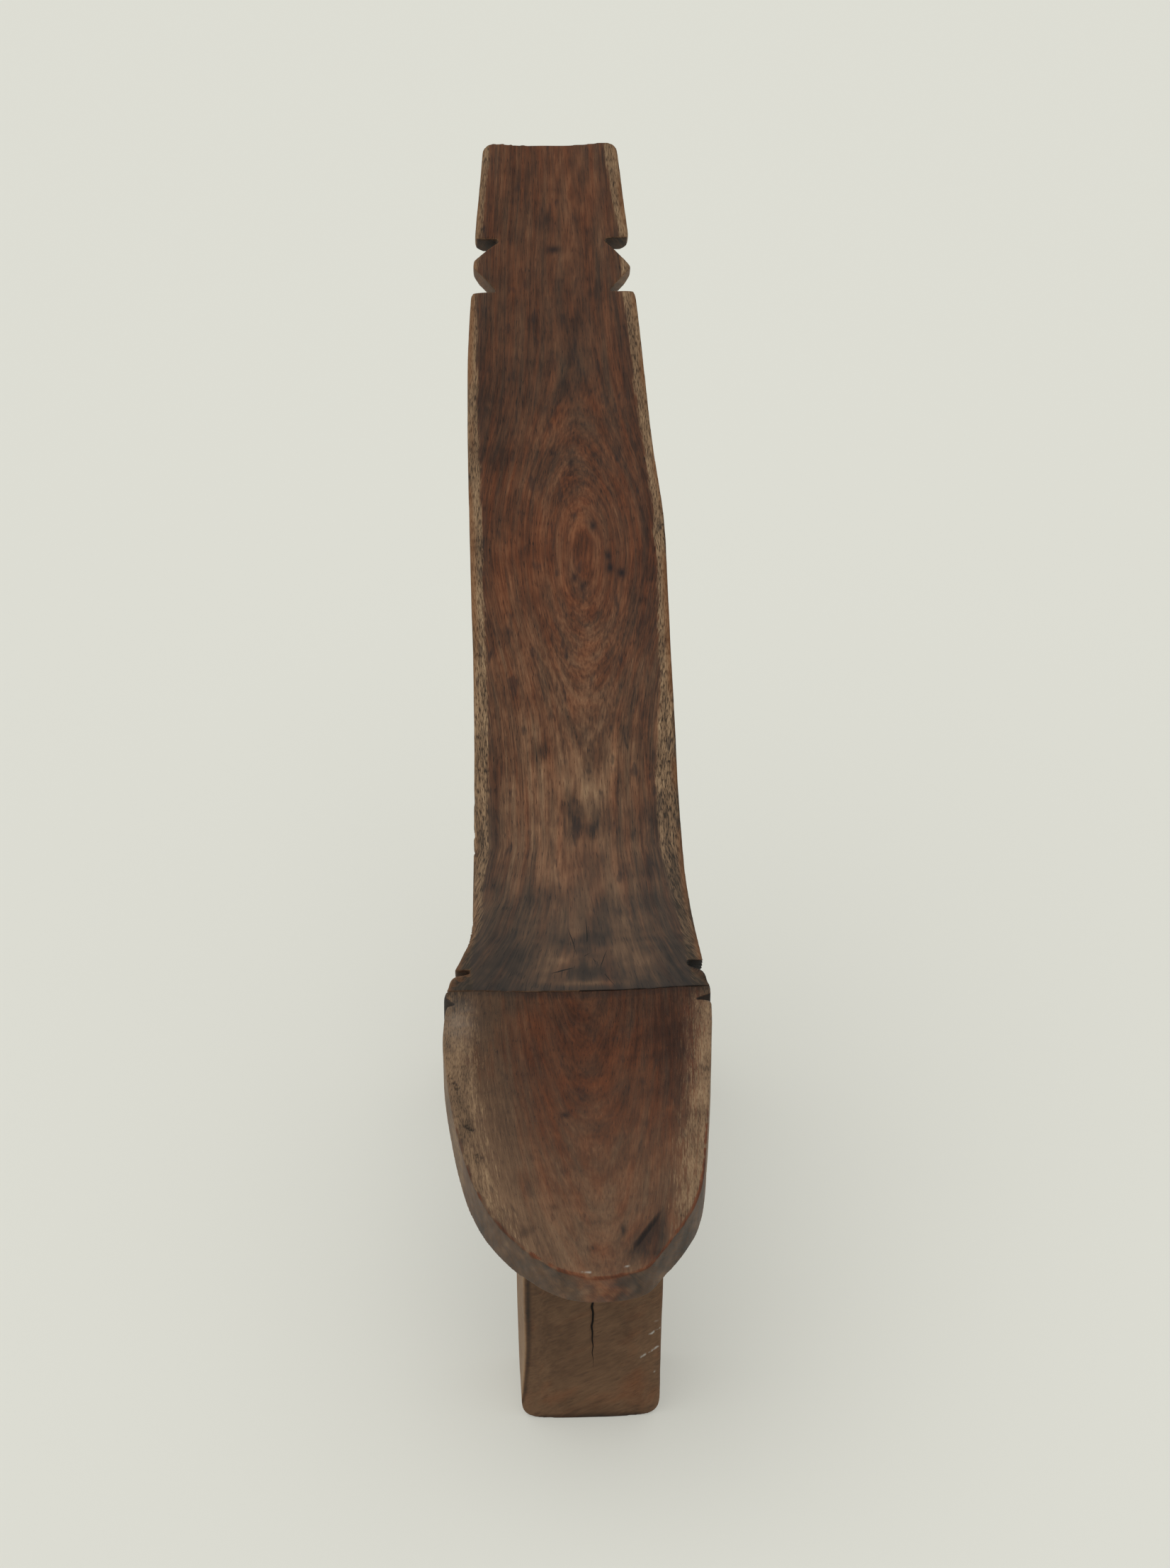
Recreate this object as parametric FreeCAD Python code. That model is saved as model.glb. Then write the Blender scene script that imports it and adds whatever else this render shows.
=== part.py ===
import FreeCAD, Part
import math
import os

from FreeCAD import Placement, Rotation, Vector

# A low three-legged chair with a long, narrow back that leans far behind the seat.
# Sizes are in millimetres and angles in degrees. X runs across the chair, Y from the front lip
# to the head, Z up from the floor. Left and right are as seen from the front.
# While the pieces are made, Y = 0 is the crease between seat and back; at the end the whole
# chair is moved so that the origin lies on the floor under the middle of its outer box.

# Seat board. Half-widths are (distance, left, right): along the sides the distance is forward
# from the crease, round the nose it is back from the front lip. The height is that of the hollow
# at the lip, and the hollow falls a little towards the crease. Where its rim stands highest is a
# share of the length.
SEAT_HEIGHT = 210.0
SEAT_FALL = 3.0
SEAT_LENGTH = 357.0
SEAT_SIDES = [(-60.0, 94.0, 94.0), (-4.0, 101.5, 101.0), (66.0, 106.5, 98.5), (146.0, 102.5, 91.0)]
SEAT_NOSE = [(133.0, 92.5, 82.5), (66.0, 73.5, 68.0), (21.0, 43.5, 42.5)]
SEAT_REAR_THICKNESS = 30.0
SEAT_LIP_THICKNESS = 22.0
SEAT_MARGIN = 22.0
SEAT_REAR_DISH = 5.0
SEAT_MIDDLE_DISH = 12.5
SEAT_LIP_DISH = 1.5
SEAT_DEEPEST = 0.45

# Backrest. Half-widths are (distance, left, right): near the foot the distance is up from the
# crease, above that it is down from the end of the head.
BACK_LENGTH = 748.0
BACK_FOOT_ANGLE = 37.5
BACK_HEAD_ANGLE = 47.5
BACK_FOOT_WIDTHS = [
    (0.0, 103.0, 102.0),
    (21.0, 95.5, 98.0),
    (39.0, 87.0, 94.5),
    (73.0, 82.0, 89.0),
    (143.0, 79.2, 84.5),
]
BACK_HEAD_WIDTHS = [
    (347.0, 78.3, 79.7),
    (271.0, 78.4, 74.2),
    (192.0, 76.5, 68.8),
    (88.0, 68.0, 60.0),
    (0.0, 60.5, 53.0),
]
BACK_FOOT_THICKNESS = 30.0
BACK_HEAD_THICKNESS = 25.0
BACK_FOOT_DISH = 6.0
BACK_MIDDLE_DISH = 8.0
BACK_HEAD_DISH = 5.0
BACK_DEEPEST = 0.5
BACK_MARGIN = 14.0
BACK_EDGE_DROP = 1.0
BACK_CROWN = 2.0
BACK_REAR_BEVEL = 6.0
HEAD_CORNER_RADIUS = 9.0

# Notches: a flat cut on the side of the plain wood, a sloped cut on the side of the tooth. Where
# the two sides of the chair differ, the sizes are (left, right).
HEAD_HEIGHT = 88.5
COLLAR_HEIGHT = 48.0
COLLAR_NOTCH_DEPTH = 22.0
COLLAR_TOOTH_INSET = (0.3, 2.7)
COLLAR_TOOTH_RISE = (1.5, -2.0)
COLLAR_TOOTH_LAND = 6.5
FOOT_NOTCH_RISE = (17.0, 21.5)
FOOT_NOTCH_DEPTH = 15.0
FOOT_TOOTH_LAND = 1.0
SEAT_NOTCH_SETBACK = 19.5
SEAT_NOTCH_DEPTH = (8.0, 15.0)
SEAT_TOOTH_SETBACK = 11.0

# Spine under the seat: a keel over the front leg, an arch, and a haunch under the back
SPINE_DEPTH = 55.0
HAUNCH_REAR_WIDTH = 130.0
HAUNCH_BED_LENGTH = 165.0
HAUNCH_REAR_HOLLOW = 14.0
BACK_HOUSING_DEPTH = 4.0
ARCH_RISE = 14.0
ARCH_REAR = 5.0
FACET_START = 62.0
FACET_LENGTH = 100.0

# Front leg
FRONT_LEG_SETBACK = 101.5
FRONT_LEG_TOP_WIDTH = 107.0
FRONT_LEG_FOOT_WIDTH = 103.0
FRONT_LEG_TOP_DEPTH = 80.0
FRONT_LEG_FOOT_DEPTH = 74.0
FRONT_LEG_CENTRE = -2.0
FRONT_LEG_CORNER_RADIUS = 2.5
FRONT_LEG_FOOT_RADIUS = 24.0

# Rear legs
REAR_LEG_RAKE = 31.0
REAR_LEG_SPLAY = 10.0
REAR_LEG_SPACING = 66.0
REAR_LEG_TOP_DIAMETER = 48.0
REAR_LEG_FOOT_DIAMETER = 40.0
REAR_LEG_FLATS = 8

# Joints
BACK_TENON_WIDTH = 84.0
BACK_TENON_THICKNESS = 12.0
BACK_TENON_LENGTH = 28.0
FRONT_TENON_WIDTH = 66.0
FRONT_TENON_DEPTH = 40.0
FRONT_TENON_LENGTH = 27.0
REAR_TENON_DIAMETER = 28.0
REAR_TENON_LENGTH = 42.0
BACK_PEG_SPACING = 44.0
BACK_PEG_DIAMETER = 9.0
FRONT_PEG_DIAMETER = 9.0
REAR_PEG_DIAMETER = 8.0
PEG_PROUD = 1.5
FIT_CLEARANCE = 0.3
END_CLEARANCE = 1.0

# Length of the cutting blocks, longer than any piece
REACH = 1000.0

X_AXIS = Vector(1, 0, 0)
Y_AXIS = Vector(0, 1, 0)
Z_AXIS = Vector(0, 0, 1)
SIDES = {"left": -1, "right": 1}


def smooth_through(rows, at, column=1):
    """Value at a station between rows, on a curve with no sudden bend at the rows."""
    rows = sorted(rows)
    at = min(max(at, rows[0][0]), rows[-1][0])
    last = len(rows) - 1
    i = max(k for k in range(last) if rows[k][0] <= at)

    def slope(k):
        before, after = rows[max(k - 1, 0)], rows[min(k + 1, last)]
        return (after[column] - before[column]) / (after[0] - before[0])

    step = rows[i + 1][0] - rows[i][0]
    t = (at - rows[i][0]) / step
    start, end = rows[i][column], rows[i + 1][column]
    return (
        start * (1 + 2 * t) * (1 - t) ** 2
        + end * t * t * (3 - 2 * t)
        + slope(i) * step * t * (1 - t) ** 2
        - slope(i + 1) * step * t * t * (1 - t)
    )


def line(a, b):
    return Part.LineSegment(a, b).toShape()


def arc(a, middle, b):
    return Part.Arc(a, middle, b).toShape()


def block(x, y, z):
    """Cutting or tenon block from its (low, high) limits along each axis."""
    return Part.makeBox(x[1] - x[0], y[1] - y[0], z[1] - z[0], Vector(x[0], y[0], z[0]))


def rod(diameter, start, end):
    path = end - start
    return Part.makeCylinder(diameter / 2, path.Length, start, path)


def centred(width):
    return (-width / 2, width / 2)


def of_side(pair, side):
    """The left or the right one of a pair."""
    return pair[0] if side < 0 else pair[1]


def through(outline, along):
    """Solid made by pushing a closed wire along one axis, half the reach to either side."""
    solid = Part.Face(outline).extrude(along * REACH)
    solid.translate(along * -REACH / 2)
    return solid


def polygon(points):
    return Part.makePolygon(points + points[:1])


# The front of the back is a shallow arc; the frame at its foot also sets out the joints there.
back_bend = math.radians(BACK_HEAD_ANGLE - BACK_FOOT_ANGLE)
back_radius = BACK_LENGTH / back_bend
bed_depth = BACK_FOOT_THICKNESS - BACK_HOUSING_DEPTH
tenon_rear = -bed_depth + (bed_depth - BACK_FOOT_DISH - BACK_TENON_THICKNESS) / 2
rim_height = SEAT_HEIGHT - SEAT_FALL + SEAT_REAR_DISH
keel_height = SEAT_HEIGHT - SPINE_DEPTH
leg_front = FRONT_LEG_SETBACK - SEAT_LENGTH
leg_middle = leg_front + FRONT_LEG_TOP_DEPTH / 2
leg_rear = leg_front + FRONT_LEG_TOP_DEPTH

# The rear legs butt against one flat facet under the haunch, square to their rake.
facet_frame = Placement(Vector(0, FACET_START, keel_height), Rotation(X_AXIS, REAR_LEG_RAKE))

# Half-widths with every distance measured from the crease
back_rows = BACK_FOOT_WIDTHS + [(BACK_LENGTH - down, a, b) for down, a, b in BACK_HEAD_WIDTHS]
seat_rows = SEAT_SIDES + [(SEAT_LENGTH - back, a, b) for back, a, b in SEAT_NOSE]


def back_frame(distance):
    """Local frame on the front of the back: X across, Y up the back, Z out of its face."""
    foot = math.radians(BACK_FOOT_ANGLE)
    angle = foot + distance / back_radius
    y = back_radius * (math.sin(angle) - math.sin(foot))
    z = rim_height + back_radius * (math.cos(foot) - math.cos(angle))
    return Placement(Vector(0, y, z), Rotation(X_AXIS, math.degrees(angle)))


foot_frame = back_frame(0)


def in_frame(shape, frame):
    placed = shape.copy()
    placed.Placement = frame.multiply(placed.Placement)
    return placed


def back_edge(distance, side):
    """Half-width of the back at a distance up from the crease."""
    return smooth_through(back_rows, distance, of_side((1, 2), side))


def back_section(distance):
    """Closed section of the back: two flat margins, a hollow between, bevelled and crowned rear."""
    frame = back_frame(distance)
    share = distance / BACK_LENGTH
    left, right = -back_edge(distance, -1), back_edge(distance, 1)
    middle = (left + right) / 2
    thickness = BACK_FOOT_THICKNESS + (BACK_HEAD_THICKNESS - BACK_FOOT_THICKNESS) * share
    dish_rows = [(0.0, BACK_FOOT_DISH), (BACK_DEEPEST, BACK_MIDDLE_DISH), (1.0, BACK_HEAD_DISH)]
    dish = smooth_through(dish_rows, share)

    def at(x, z):
        return frame.multVec(Vector(x, 0, z))

    front_left, front_right = at(left, -BACK_EDGE_DROP), at(right, -BACK_EDGE_DROP)
    hollow_left, hollow_right = at(left + BACK_MARGIN, 0), at(right - BACK_MARGIN, 0)
    side_left, side_right = (at(x, -thickness + BACK_REAR_BEVEL) for x in (left, right))
    rear_left = at(left + BACK_REAR_BEVEL, -thickness)
    rear_right = at(right - BACK_REAR_BEVEL, -thickness)
    return Part.Wire(
        [
            line(front_left, hollow_left),
            arc(hollow_left, at(middle, -dish), hollow_right),
            line(hollow_right, front_right),
            line(front_right, side_right),
            line(side_right, rear_right),
            arc(rear_right, at(middle, -thickness - BACK_CROWN), rear_left),
            line(rear_left, side_left),
            line(side_left, front_left),
        ]
    )


def notch(frame, side, inner, tip, flat, tip_at):
    """Wedge that cuts one notch into an edge. The flat cut lies at `flat` along the frame's Y and
    reaches in to `inner`; the sloped cut runs from there out through `tip` at `tip_at`."""
    slope = (tip_at - flat) / (tip - inner)
    outer = 2 * tip - inner
    points = [(inner, flat), (outer, flat), (outer, flat + (outer - inner) * slope)]
    outline = polygon([Vector(side * x, y, 0) for x, y in points])
    return in_frame(through(outline, Z_AXIS), frame)


def back_tenon(clearance=0.0):
    """Stub tenon on the foot of the back, or with a clearance the mortise for it."""
    root = BACK_FOOT_THICKNESS / 4
    tenon = block(
        centred(BACK_TENON_WIDTH + 2 * clearance),
        (-BACK_TENON_LENGTH - (END_CLEARANCE if clearance else 0), root),
        (tenon_rear - clearance, tenon_rear + BACK_TENON_THICKNESS + clearance),
    )
    return in_frame(tenon, foot_frame)


def rounded_corner(frame, side, edge, taper, radius):
    """Waste outside a rounded corner. The end lies at Y = 0 of the frame, the edge starts `edge` from
    the middle and leans outward by the angle `taper` on its way from the end."""
    turn = (math.pi / 2 - taper) / 2
    reach = radius * math.tan(turn)

    def at(x, y):
        return Vector(side * (edge + x), y, 0)

    on_end = at(-reach, 0)
    on_edge = at(reach * math.sin(taper), -reach * math.cos(taper))
    crown = at(radius * math.sin(turn) - reach, radius * math.cos(turn) - radius)
    beside = at(radius, -reach * math.cos(taper))
    above = at(-reach, radius)
    outline = [
        arc(on_end, crown, on_edge),
        line(on_edge, beside),
        line(beside, at(radius, radius)),
        line(at(radius, radius), above),
        line(above, on_end),
    ]
    return in_frame(through(Part.Wire(outline), Z_AXIS), frame)


def head_corner(side):
    edge = back_edge(BACK_LENGTH, side)
    below = 2 * HEAD_CORNER_RADIUS
    taper = math.atan2(back_edge(BACK_LENGTH - below, side) - edge, below)
    return rounded_corner(back_frame(BACK_LENGTH), side, edge, taper, HEAD_CORNER_RADIUS)


def make_backrest():
    plank = Part.makeLoft([back_section(row[0]) for row in sorted(back_rows)], True, False)

    head_cut = BACK_LENGTH - HEAD_HEIGHT
    shoulder_cut = head_cut - COLLAR_HEIGHT
    tooth = (head_cut + shoulder_cut) / 2
    collar_frame = back_frame(tooth)
    for side in SIDES.values():
        tip = back_edge(tooth, side) - of_side(COLLAR_TOOTH_INSET, side)
        tip_low, tip_high = (of_side(COLLAR_TOOTH_RISE, side) + z for z in centred(COLLAR_TOOTH_LAND))
        head_inner = back_edge(head_cut, side) - COLLAR_NOTCH_DEPTH
        shoulder_inner = back_edge(shoulder_cut, side) - COLLAR_NOTCH_DEPTH
        foot_tip = back_edge(0, side)
        foot_rise = of_side(FOOT_NOTCH_RISE, side)
        foot_inner = back_edge(foot_rise, side) - FOOT_NOTCH_DEPTH
        plank = plank.cut(
            [
                notch(collar_frame, side, head_inner, tip, COLLAR_HEIGHT / 2, tip_high),
                notch(collar_frame, side, shoulder_inner, tip, -COLLAR_HEIGHT / 2, tip_low),
                notch(foot_frame, side, foot_inner, foot_tip, foot_rise, FOOT_TOOTH_LAND),
                head_corner(side),
            ]
        )

    housing = block(
        centred(HAUNCH_REAR_WIDTH + 2 * FIT_CLEARANCE),
        (-REACH, HAUNCH_BED_LENGTH + FIT_CLEARANCE),
        (-REACH, -bed_depth),
    )
    plank = plank.cut(in_frame(housing, foot_frame)).fuse(back_tenon())
    for side in SIDES.values():
        plank = plank.cut(back_peg(side, FIT_CLEARANCE))
    return plank


def seat_edge(distance, side):
    """Half-width of the seat board at a distance in front of the crease."""
    lip = (SEAT_LENGTH, 0.0, 0.0)
    return smooth_through(seat_rows + [lip], distance, of_side((1, 2), side))


def seat_outline_side(side):
    """Edge of the board on one side, from behind the crease to the middle of the front lip."""
    points = [Vector(side * seat_edge(row[0], side), -row[0], 0) for row in seat_rows]
    points.append(Vector(0, -SEAT_LENGTH, 0))
    along_side = points[1] - points[0]
    curve = Part.BSplineCurve()
    curve.interpolate(points, InitialTangent=along_side, FinalTangent=X_AXIS * -side)
    return curve.toShape()


def seat_section(distance):
    """Section across the seat board: flat margins, a hollow between, a flat underside."""
    y = -distance
    lip_share = min(max(distance / SEAT_LENGTH, 0.0), 1.0)
    dish_rows = [(0.0, SEAT_REAR_DISH), (SEAT_DEEPEST, SEAT_MIDDLE_DISH), (1.0, SEAT_LIP_DISH)]
    bottom = SEAT_HEIGHT - SEAT_FALL * (1 - lip_share)
    rim = bottom + smooth_through(dish_rows, lip_share)
    thickness = SEAT_REAR_THICKNESS + (SEAT_LIP_THICKNESS - SEAT_REAR_THICKNESS) * lip_share
    under = bottom - thickness
    left = -max(seat_edge(distance, -1) - SEAT_MARGIN, SEAT_MARGIN)
    right = max(seat_edge(distance, 1) - SEAT_MARGIN, SEAT_MARGIN)
    beyond = REACH / 4
    far_left, far_right = Vector(-beyond, y, rim), Vector(beyond, y, rim)
    hollow_left, hollow_right = Vector(left, y, rim), Vector(right, y, rim)
    hollow = Vector((left + right) / 2, y, bottom)
    under_left, under_right = Vector(-beyond, y, under), Vector(beyond, y, under)
    return Part.Wire(
        [
            line(far_left, hollow_left),
            arc(hollow_left, hollow, hollow_right),
            line(hollow_right, far_right),
            line(far_right, under_right),
            line(under_right, under_left),
            line(under_left, far_left),
        ]
    )


def make_seat_board():
    rear = seat_rows[0]
    stations = [row[0] for row in seat_rows] + [SEAT_LENGTH + SEAT_MARGIN]
    slab = Part.makeLoft([seat_section(s) for s in stations], True, False)
    rear_edge = line(Vector(-rear[1], -rear[0], 0), Vector(rear[2], -rear[0], 0))
    edges = [seat_outline_side(side) for side in SIDES.values()] + [rear_edge]
    outline = Part.Wire(Part.__sortEdges__(edges))
    board = slab.common(through(outline, Z_AXIS))

    behind_crease = block(centred(REACH), (0, REACH), centred(REACH))
    board = board.cut(in_frame(behind_crease, foot_frame))
    for side in SIDES.values():
        tip = seat_edge(SEAT_TOOTH_SETBACK, side)
        inner = seat_edge(SEAT_NOTCH_SETBACK, side) - of_side(SEAT_NOTCH_DEPTH, side)
        corner = notch(Placement(), side, inner, tip, -SEAT_NOTCH_SETBACK, -SEAT_TOOTH_SETBACK)
        board = board.cut(corner)
    return board


def make_spine():
    """Keel, arch and haunch under the board, drawn from the side and trimmed from above."""
    board_core = SEAT_HEIGHT - SEAT_LIP_THICKNESS / 2
    bed_start = foot_frame.multVec(Vector(0, 0, -bed_depth))
    bed_end = foot_frame.multVec(Vector(0, HAUNCH_BED_LENGTH, -bed_depth))
    arch_top = Vector(0, (leg_rear + ARCH_REAR) / 2, keel_height + ARCH_RISE)
    keel_front = Vector(0, leg_front, keel_height)
    arch_front = Vector(0, leg_rear, keel_height)
    arch_rear = Vector(0, ARCH_REAR, keel_height)
    facet_low = Vector(0, FACET_START, keel_height)
    facet_high = facet_frame.multVec(Vector(0, FACET_LENGTH, 0))
    inward = foot_frame.Rotation.multVec(Vector(0, -HAUNCH_REAR_HOLLOW, 0))
    rear_hollow = (facet_high + bed_end) / 2 + inward
    core_rear = Vector(0, -SEAT_REAR_THICKNESS, board_core)
    core_front = Vector(0, leg_front, board_core)
    profile = Part.Wire(
        [
            line(keel_front, arch_front),
            arc(arch_front, arch_top, arch_rear),
            line(arch_rear, facet_low),
            line(facet_low, facet_high),
            arc(facet_high, rear_hollow, bed_end),
            line(bed_end, bed_start),
            line(bed_start, core_rear),
            line(core_rear, core_front),
            line(core_front, keel_front),
        ]
    )

    half_front, half_rear = FRONT_LEG_TOP_WIDTH / 2, HAUNCH_REAR_WIDTH / 2
    plan = [
        Vector(FRONT_LEG_CENTRE - half_front, leg_front, 0),
        Vector(FRONT_LEG_CENTRE + half_front, leg_front, 0),
        Vector(FRONT_LEG_CENTRE + half_front, leg_rear, 0),
        Vector(half_rear, 0, 0),
        Vector(half_rear, REACH, 0),
        Vector(-half_rear, REACH, 0),
        Vector(-half_rear, 0, 0),
        Vector(FRONT_LEG_CENTRE - half_front, leg_rear, 0),
    ]
    return through(profile, X_AXIS).common(through(polygon(plan), Z_AXIS))


def rear_leg_axis(side):
    """Middle of a rear leg's shoulder on the facet, and the way the leg points to the floor."""
    shoulder = facet_frame.multVec(Vector(side * REAR_LEG_SPACING / 2, FACET_LENGTH / 2, 0))
    splay = math.radians(REAR_LEG_SPLAY)
    down = facet_frame.Rotation.multVec(Vector(side * math.sin(splay), 0, -math.cos(splay)))
    return shoulder, down


def rear_tenon(side, clearance=0.0):
    shoulder, down = rear_leg_axis(side)
    length = REAR_TENON_LENGTH + (END_CLEARANCE if clearance else 0)
    start = shoulder + down * REAR_TENON_DIAMETER
    return rod(REAR_TENON_DIAMETER + 2 * clearance, start, shoulder - down * length)


def make_rear_leg(side):
    """Leg adzed to flats all round, thinner at the foot, cut level with the facet and the floor."""
    shoulder, down = rear_leg_axis(side)
    leg_frame = Placement(shoulder, Rotation(Z_AXIS, down))
    length = shoulder.z / -down.z
    taper = (REAR_LEG_TOP_DIAMETER - REAR_LEG_FOOT_DIAMETER) / length
    overrun = REAR_LEG_TOP_DIAMETER

    def section(along):
        across_flats = REAR_LEG_TOP_DIAMETER - taper * along
        radius = across_flats / 2 / math.cos(math.pi / REAR_LEG_FLATS)
        turns = [2 * math.pi * (k + 0.5) / REAR_LEG_FLATS for k in range(REAR_LEG_FLATS)]
        corners = [Vector(radius * math.cos(t), radius * math.sin(t), along) for t in turns]
        return in_frame(polygon(corners), leg_frame)

    shaft = Part.makeLoft([section(-overrun), section(length + overrun)], True, True)
    above_facet = in_frame(block(centred(REACH), centred(REACH), (0, REACH)), facet_frame)
    below_floor = block(centred(REACH), centred(REACH), (-REACH, 0))
    shaft = shaft.cut([above_facet, below_floor])
    return shaft.fuse(rear_tenon(side)).cut(rear_peg(side, FIT_CLEARANCE))


def front_tenon(clearance=0.0):
    length = FRONT_TENON_LENGTH + (END_CLEARANCE if clearance else 0)
    x_low, x_high = centred(FRONT_TENON_WIDTH + 2 * clearance)
    y_low, y_high = centred(FRONT_TENON_DEPTH + 2 * clearance)
    return block(
        (FRONT_LEG_CENTRE + x_low, FRONT_LEG_CENTRE + x_high),
        (leg_middle + y_low, leg_middle + y_high),
        (keel_height - FRONT_TENON_LENGTH, keel_height + length),
    )


def make_front_leg():
    half_top, half_foot = FRONT_LEG_TOP_WIDTH / 2, FRONT_LEG_FOOT_WIDTH / 2
    from_front = [
        Vector(FRONT_LEG_CENTRE - half_foot, 0, 0),
        Vector(FRONT_LEG_CENTRE + half_foot, 0, 0),
        Vector(FRONT_LEG_CENTRE + half_top, 0, keel_height),
        Vector(FRONT_LEG_CENTRE - half_top, 0, keel_height),
    ]
    from_side = [
        Vector(0, leg_front, 0),
        Vector(0, leg_front + FRONT_LEG_FOOT_DEPTH, 0),
        Vector(0, leg_rear, keel_height),
        Vector(0, leg_front, keel_height),
    ]
    leg = through(polygon(from_front), Y_AXIS).common(through(polygon(from_side), X_AXIS))
    uprights = [edge for edge in leg.Edges if edge.BoundBox.ZLength > keel_height / 2]
    leg = leg.makeFillet(FRONT_LEG_CORNER_RADIUS, uprights)

    floor_frame = Placement(Vector(FRONT_LEG_CENTRE, 0, 0), Rotation(X_AXIS, -90))
    taper = math.atan2(half_top - half_foot, keel_height)
    for side in SIDES.values():
        leg = leg.cut(rounded_corner(floor_frame, side, half_foot, taper, FRONT_LEG_FOOT_RADIUS))
    return leg.fuse(front_tenon()).cut(front_peg(FIT_CLEARANCE))


def back_peg(side, clearance=0.0):
    """Peg square to the back's tenon, driven from under the haunch and stopped below the seat."""
    x = side * BACK_PEG_SPACING / 2
    tip_height = tenon_rear + BACK_TENON_THICKNESS + BACK_PEG_DIAMETER / 3
    y = -BACK_TENON_LENGTH / 2
    tip = foot_frame.multVec(Vector(x, y, tip_height + (END_CLEARANCE if clearance else 0)))
    down = foot_frame.Rotation.multVec(Vector(0, 0, -1))
    below = (tip.z - keel_height) / -down.z + PEG_PROUD + (BACK_PEG_DIAMETER if clearance else 0)
    return rod(BACK_PEG_DIAMETER + 2 * clearance, tip + down * below, tip)


def front_peg(clearance=0.0):
    """Peg across the keel through the front leg's tenon, a little proud at both ends."""
    half = FRONT_LEG_TOP_WIDTH / 2 + PEG_PROUD + (FRONT_PEG_DIAMETER if clearance else 0)
    z = keel_height + FRONT_TENON_LENGTH / 2
    start = Vector(FRONT_LEG_CENTRE - half, leg_middle, z)
    end = Vector(FRONT_LEG_CENTRE + half, leg_middle, z)
    return rod(FRONT_PEG_DIAMETER + 2 * clearance, start, end)


def rear_peg(side, clearance=0.0):
    """Peg from the side of the haunch through a rear leg's round tenon."""
    shoulder, down = rear_leg_axis(side)
    middle = shoulder - down * REAR_TENON_LENGTH / 2
    outside = HAUNCH_REAR_WIDTH / 2 + PEG_PROUD + (REAR_PEG_DIAMETER if clearance else 0)
    inside = abs(middle.x) - REAR_TENON_DIAMETER / 2 - (END_CLEARANCE if clearance else 0)
    start = Vector(side * outside, middle.y, middle.z)
    end = Vector(side * inside, middle.y, middle.z)
    return rod(REAR_PEG_DIAMETER + 2 * clearance, start, end)


def make_seat():
    seat = make_seat_board().fuse(make_spine()).removeSplitter()
    cuts = [back_tenon(FIT_CLEARANCE), front_tenon(FIT_CLEARANCE), front_peg(FIT_CLEARANCE)]
    for side in SIDES.values():
        cuts += [
            rear_tenon(side, FIT_CLEARANCE),
            back_peg(side, FIT_CLEARANCE),
            rear_peg(side, FIT_CLEARANCE),
        ]
    return seat.cut(cuts)


def make_pieces():
    pieces = {
        "seat": make_seat(),
        "backrest": make_backrest(),
        "front_leg": make_front_leg(),
        "front_leg_peg": front_peg(),
    }
    for name, side in SIDES.items():
        pieces["rear_leg_" + name] = make_rear_leg(side)
        pieces["rear_leg_peg_" + name] = rear_peg(side)
        pieces["backrest_peg_" + name] = back_peg(side)
    return pieces


pieces = make_pieces()
outer_box = Part.makeCompound(list(pieces.values())).optimalBoundingBox(False)
to_origin = Vector(-outer_box.Center.x, -outer_box.Center.y, -outer_box.ZMin)
os.makedirs("parts", exist_ok=True)
for node, piece in pieces.items():
    assert len(piece.Solids) == 1 and piece.isValid(), node
    solid = piece.Solids[0].copy()
    solid.translate(to_origin)
    solid.exportStep(f"parts/{node}.step")
    print(node, "volume", round(solid.Volume), "mm3")
print("outer box", outer_box, "moved by", to_origin)
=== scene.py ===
import itertools
import math

import bmesh
import bpy
import numpy as np
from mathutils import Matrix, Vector


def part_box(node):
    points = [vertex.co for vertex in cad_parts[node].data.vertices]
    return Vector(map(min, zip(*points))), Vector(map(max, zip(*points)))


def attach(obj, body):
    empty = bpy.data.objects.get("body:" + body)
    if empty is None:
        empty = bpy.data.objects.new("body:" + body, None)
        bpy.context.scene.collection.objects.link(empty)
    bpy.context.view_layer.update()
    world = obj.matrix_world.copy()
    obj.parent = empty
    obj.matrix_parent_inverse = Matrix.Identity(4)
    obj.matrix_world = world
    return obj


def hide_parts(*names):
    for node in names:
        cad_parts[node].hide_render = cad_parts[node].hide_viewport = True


# Looks of a low chair carved in dark brown wood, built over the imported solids. All sizes are in
# metres. Each wooden piece is an even mesh over its solid that is then worn, chipped and cut. Its
# grain, sapwood and stains are kept on the mesh as named values that its material reads.
# Places on a piece are (across, along, out): across from the chair's middle line; along from the
# crease up the back, from the crease forward on the seat, or up from the floor on a leg; out of
# the piece's show face.
# Tones run from 0, near black, to 1, pale; 0.5 is the middle of the wood's own colour.

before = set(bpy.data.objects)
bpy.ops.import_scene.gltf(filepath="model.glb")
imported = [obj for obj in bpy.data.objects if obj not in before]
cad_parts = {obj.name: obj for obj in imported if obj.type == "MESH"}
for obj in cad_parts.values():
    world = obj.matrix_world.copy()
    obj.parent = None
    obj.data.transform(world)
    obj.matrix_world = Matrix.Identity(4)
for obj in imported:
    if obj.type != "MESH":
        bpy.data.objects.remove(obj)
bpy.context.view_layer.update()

# Sizes of the solids that the places on each piece are measured by
SEAT_LENGTH = 0.357
SEAT_HEIGHT = 0.210
RIM_HEIGHT = 0.212
SEAT_EDGE_DEPTH = 0.03
BACK_LENGTH = 0.748
BACK_FOOT_ANGLE = math.radians(37.5)
BACK_BEND = math.radians(10.0)
BACK_RADIUS = BACK_LENGTH / BACK_BEND
FRONT_LEG_OFFSET = -0.002
FOOT_HALF_WIDTH = 0.0515
FOOT_RADIUS = 0.024

seat_low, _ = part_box("seat")
leg_low, leg_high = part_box("front_leg")
CREASE = seat_low.y + SEAT_LENGTH
MIDDLE = (leg_low.x + leg_high.x) / 2 - FRONT_LEG_OFFSET

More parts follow.
